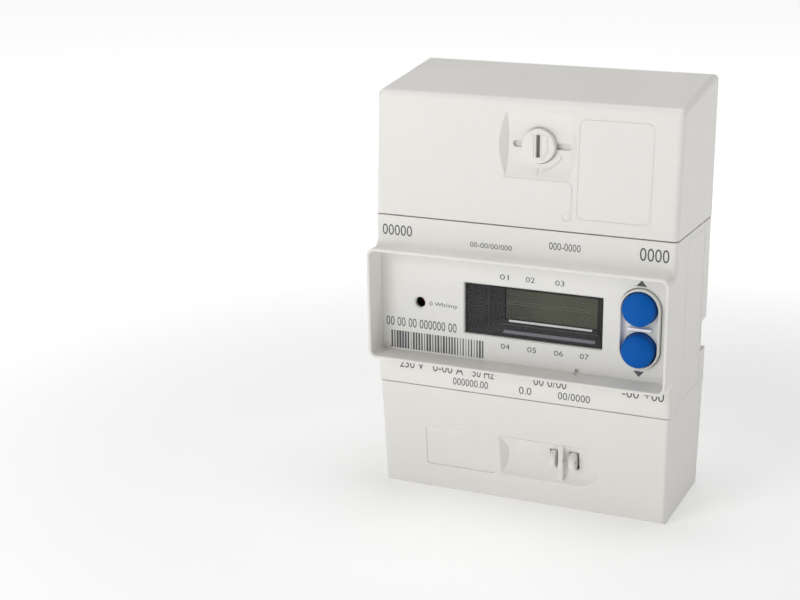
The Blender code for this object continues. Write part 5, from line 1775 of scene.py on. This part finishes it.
class Printing:
    """Generic printed figures, unit signs and bars in place of the maker's own legends."""

    PROUD = PRINT_HEIGHT
    PLATE_MARKS = (
        Mark("pulse_rate", "0 Wh/imp", Span(-40.4, -28.0), 81.0, 2.2),
        Mark("number_line", "00 00 00 000000 00", Span(-60.0, -28.4), 72.0, 3.9),
    )
    REGISTERS = ((-9.6, 95.8), (1.4, 95.8), (13.8, 95.8),
                 (-9.0, 67.0), (2.4, 67.0), (13.8, 67.0), (24.6, 67.0))
    REGISTER_SIZE = (3.8, 2.2)
    HOUSING_MARKS = (
        Mark("type_figures", "00000", Span(-60.0, -46.9), 111.0, 4.4),
        Mark("small_figures", "00-00/00/000", Span(-21.6, -3.8), 108.3, 2.1),
        Mark("middle_figures", "000-0000", Span(11.7, 24.6), 111.0, 3.0),
        Mark("right_figures", "0000", Span(48.4, 60.0), 111.4, 5.2),
        Mark("mains", "230 V", Span(-53.2, -42.2), 55.0, 3.9),
        Mark("current", "0-00 A", Span(-38.2, -24.6), 55.0, 3.9),
        Mark("frequency", "50 Hz", Span(-20.6, -11.2), 55.0, 3.9),
        Mark("class_figures", "00 0/00", Span(6.0, 20.0), 55.0, 3.9),
        Mark("temperature", "-00 +00", Span(43.2, 60.2), 55.2, 3.9),
        Mark("code_figures", "000000.00", Span(-29.2, -13.7), 50.1, 3.1),
        Mark("release_figures", "0.0", Span(-0.2, 5.2), 50.1, 3.1),
        Mark("date_figures", "00/0000", Span(16.5, 30.0), 50.1, 3.1),
    )
    BARS = (Span(-58.1, -16.3), Span(60.7, 68.1))
    BAR_COUNT = 34

    def stamp(self, mark: Mark, depth: float, palette: Palette) -> None:
        """Set one mark from the built-in figures, fitted to its place."""
        curve = bpy.data.curves.new(mark.name, "FONT")
        curve.body = mark.signs
        curve.resolution_u = 3
        curve.extrude = 0.5
        item = bpy.data.objects.new(mark.name, curve)
        bpy.context.scene.collection.objects.link(item)
        bpy.context.view_layer.update()
        mesh = bpy.data.meshes.new_from_object(item.evaluated_get(bpy.context.evaluated_depsgraph_get()))
        bpy.data.objects.remove(item)
        xs, ys = [v.co.x for v in mesh.vertices], [v.co.y for v in mesh.vertices]
        wide, low, high = max(xs) - min(xs), min(ys), max(ys)
        for vert in mesh.vertices:
            across = (vert.co.x - min(xs)) / wide * mark.x.size + mark.x.low
            up = (vert.co.y - low) / (high - low) * mark.height + mark.z - mark.height / 2
            vert.co = at(across, depth - self.PROUD * (0.5 + vert.co.z), up)
        shape = bmesh.new()
        shape.from_mesh(mesh)
        show(Solid(f"print_{mark.name}", shape), palette, Slot.MASK, "housing", (),
             palette.trims["print_ink"])

    def sign(self, name: str, outline: Sequence[Point], palette: Palette) -> None:
        """One printed shape on the face plate."""
        reach = Span(FACE.depth.low - self.PROUD, FACE.depth.low)
        show(Solid.prism(f"print_{name}", outline, reach), palette, Slot.MASK, "housing", (),
             palette.trims["print_ink"])

    def bars(self, palette: Palette) -> None:
        """The group of printed bars."""
        x, z = self.BARS
        depth = FACE.depth.low - self.PROUD / 2
        points = [at(x.low + x.size * (index + 0.5) / self.BAR_COUNT, depth, z.middle)
                  for index in range(self.BAR_COUNT)]
        bars = BarPattern().grow("print_bars", points, palette.trims["print_ink"],
                                 {"Bar Height": z.size * MM, "Thinnest": 0.2 * MM, "Widest": 1.05 * MM})
        show(bars, palette, Slot.MASK, "housing", (), palette.trims["print_ink"])

    def build(self, palette: Palette) -> None:
        """Print everything."""
        wide, high = self.REGISTER_SIZE
        registers = [Mark(f"register_{number}", f"0{number}", Span(x, x + wide), z, high)
                     for number, (x, z) in enumerate(self.REGISTERS, 1)]
        for mark in (*self.PLATE_MARKS, *registers):
            self.stamp(mark, FACE.depth.low, palette)
        for mark in self.HOUSING_MARKS:
            self.stamp(mark, 0.0, palette)
        self.bars(palette)
        x = node_box("button_surround").x.middle
        self.sign("select_sign", ((x - 2.2, 98.2), (x + 2.2, 98.2), (x, 100.6)), palette)
        self.sign("scroll_sign", ((x + 2.2, 64.0), (x - 2.2, 64.0), (x, 61.6)), palette)
        self.sign("dot_left", rounded(Span.about(-58.2, 0.5), Span.about(61.0, 0.5), 0.25), palette)


# ---------------------------------------------------------------- fasteners and inner parts


class Fasteners:
    """Every cross-head screw, grown from one pattern."""

    def group(self, pattern: ScrewPattern, title: str, names: Sequence[str], body: str, head: float,
              shank: float, palette: Palette) -> None:
        """Grow the screws of one body.

        Args:
            pattern: The screws' tree.
            title: The piece's name.
            names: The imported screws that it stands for.
            body: The body that they move with.
            head: The heads' height.
            shank: The shanks' radius.
            palette: The finishes.
        """
        boxes = [node_box(name) for name in names]
        box = boxes[0]
        seats = [at(each.x.middle, each.depth.low, each.z.middle) + Vector((0.0, head * MM, 0.0))
                 for each in boxes]
        sizes = {"Head Radius": box.x.size / 2 * MM, "Head Height": head * MM, "Shank Radius": shank * MM,
                 "Length": (box.depth.size - head) * MM}
        piece = pattern.grow(title, seats, palette.finishes[Slot.STEEL], sizes)
        show(piece.smoothed(), palette, Slot.STEEL, body, names)

    def build(self, palette: Palette) -> None:
        """Grow and dress all of them."""
        pattern = ScrewPattern()
        for kind, count, head, shank in (("housing", 4, 2.0, 1.3), ("board", 4, 1.4, 1.0),
                                         ("power_board", 2, 1.4, 1.0)):
            names = [f"{kind}_screw_{number}" for number in range(1, count + 1)]
            self.group(pattern, f"{kind}_screws", names, "housing", head, shank, palette)
        for number in range(1, 5):
            body = f"clamp_screw_{number}"
            self.group(pattern, f"{body}_body", [f"terminal_screw_{number}"], body, 3.6, 2.2, palette)


class InnerParts:
    """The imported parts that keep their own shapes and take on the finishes."""

    SLOTS = {
        Slot.HOUSING: ("lcd_reflector",),
        Slot.RUBBER: ("contact_strip_lower", "contact_strip_upper"),
        Slot.BLACK: ("switch_select", "switch_scroll", "supply_capacitor", "control_relay",
                     "board_link_header"),
        Slot.BOARD: ("main_board", "power_board"),
        Slot.YELLOW: ("supply_transformer",),
        Slot.TERMINAL: ("terminal_block", "aux_terminal_block", "latch_keeper"),
        Slot.COPPER: ("phase_bar_in", "phase_bar_out", "neutral_bar"),
        Slot.BRASS: ("current_shunt", *(f"terminal_cage_{number}" for number in range(1, 5))),
        Slot.STEEL: ("knob_clip", "latch_cam", "cam_screw"),
    }

    def build(self, palette: Palette) -> None:
        """Dress them."""
        for slot, names in self.SLOTS.items():
            for name in names:
                data = frame["nodes"][name].data
                data.materials.clear()
                data.materials.append(palette.finishes[slot])
                log.info("%s: carried over as %s", name, slot.value)


# ---------------------------------------------------------------- studio


@dataclass
class Studio:
    """A white floor under a sky that is white at its foot, two soft lights and the camera."""

    focal_share: float = 1413.99 / 800
    shift: tuple[float, float] = (-0.1898, 0.0276)
    turn: float = 19.919
    tip: float = 16.749
    roll: float = 1.005
    place: tuple[float, float, float] = (194.83, -500.73, 240.58)
    sensor: float = 36.0
    aim: tuple[float, float, float] = (0.0, 0.0, 0.09)
    key_place: tuple[float, float, float] = (-0.35, -0.75, 0.45)
    key_size: float = 0.4
    key_power: float = 2.2
    top_place: tuple[float, float, float] = (0.05, 0.1, 1.3)
    top_size: float = 0.7
    top_power: float = 6.8
    sky_fade: Point = (0.09, 0.2)
    sky_loss: float = 0.82
    floor_half: float = 6.0
    glow_reach: Point = (0.12, 0.65)
    glow: Point = (0.24, 0.75)

    def camera(self) -> None:
        """Set the camera up."""
        data = bpy.data.cameras.new("camera")
        data.sensor_width = self.sensor
        data.lens = self.sensor * self.focal_share
        data.shift_x, data.shift_y = self.shift
        data.clip_start, data.clip_end = 0.01, 50.0
        item = bpy.data.objects.new("camera", data)
        bpy.context.scene.collection.objects.link(item)
        yaw, pitch, roll = (math.radians(turn) for turn in (self.turn, self.tip, self.roll))
        ahead = Vector((-math.sin(yaw) * math.cos(pitch), math.cos(yaw) * math.cos(pitch), -math.sin(pitch)))
        right = Vector((math.cos(yaw), math.sin(yaw), 0.0))
        up = right.cross(ahead)
        level = (right * math.cos(roll) + up * math.sin(roll), up * math.cos(roll) - right * math.sin(roll))
        turned = Matrix((level[0], level[1], -ahead)).transposed().to_4x4()
        item.matrix_world = Matrix.Translation(at(*self.place)) @ turned
        bpy.context.scene.camera = item

    def light(self, name: str, place: Sequence[float], size: float, power: float) -> None:
        """A soft square lamp that points at the meter.

        Args:
            name: Its name.
            place: Where it hangs, in metres.
            size: Its side in metres.
            power: Its power in watts.
        """
        data = bpy.data.lights.new(name, "AREA")
        data.size, data.energy = size, power
        item = bpy.data.objects.new(name, data)
        bpy.context.scene.collection.objects.link(item)
        item.location = place
        item.rotation_euler = (Vector(self.aim) - Vector(place)).to_track_quat("-Z", "Y").to_euler()

    def floor(self) -> None:
        """The pale floor, well past every view."""
        shape = bmesh.new()
        bmesh.ops.create_grid(shape, x_segments=2, y_segments=2, size=self.floor_half)
        mesh = bpy.data.meshes.new("floor")
        shape.to_mesh(mesh)
        shape.free()
        item = bpy.data.objects.new("floor", mesh)
        bpy.context.scene.collection.objects.link(item)
        shader = Shader("floor_paper")
        fibres = shader.noise(3.0, 3.0)
        reach = shader.node("ShaderNodeVectorMath", {"operation": "LENGTH"}, {0: shader.place}, "Value")
        glow = shader.mix(reach.ramp(*self.glow_reach), *((part, part, part) for part in self.glow))
        item.data.materials.append(shader.close({
            "Base Color": shader.mix(fibres * 0.04, (0.93, 0.93, 0.93), (0.88, 0.88, 0.88)),
            "Roughness": 0.9 + fibres * 0.05, "Emission Color": glow, "Emission Strength": 1.0}))

    def build(self) -> None:
        """Set up the whole studio."""
        world = bpy.data.worlds.new("studio")
        world.use_nodes = True
        sky = Tree(world.node_tree)
        way = sky.node("ShaderNodeTexCoord", None, None, "Generated")
        rise = sky.node("ShaderNodeSeparateXYZ", None, {0: way}, "Z").ramp(*self.sky_fade)
        backdrop = sky.node("ShaderNodeBackground", None,
                            {"Color": (1.0, 1.0, 1.0, 1.0), "Strength": 1.0 - rise * self.sky_loss})
        sky.node("ShaderNodeOutputWorld", None, {"Surface": backdrop})
        bpy.context.scene.world = world
        bpy.context.scene.view_settings.view_transform = "Standard"
        self.light("key", self.key_place, self.key_size, self.key_power)
        self.light("top", self.top_place, self.top_size, self.top_power)
        self.floor()
        self.camera()


# ---------------------------------------------------------------- the meter


def main() -> None:
    """Build the meter piece by piece."""
    logging.basicConfig(level=logging.INFO, format="%(message)s")
    palette = Palette()
    for assembly in (UpperCover, Knob, MiddleHousing, BackShell, LowerCover, SealEars, FacePlate, Display,
                     Lamp, Buttons, Printing, Fasteners, InnerParts):
        assembly().build(palette)
    Studio().build()


if __name__ == "__main__":
    main()
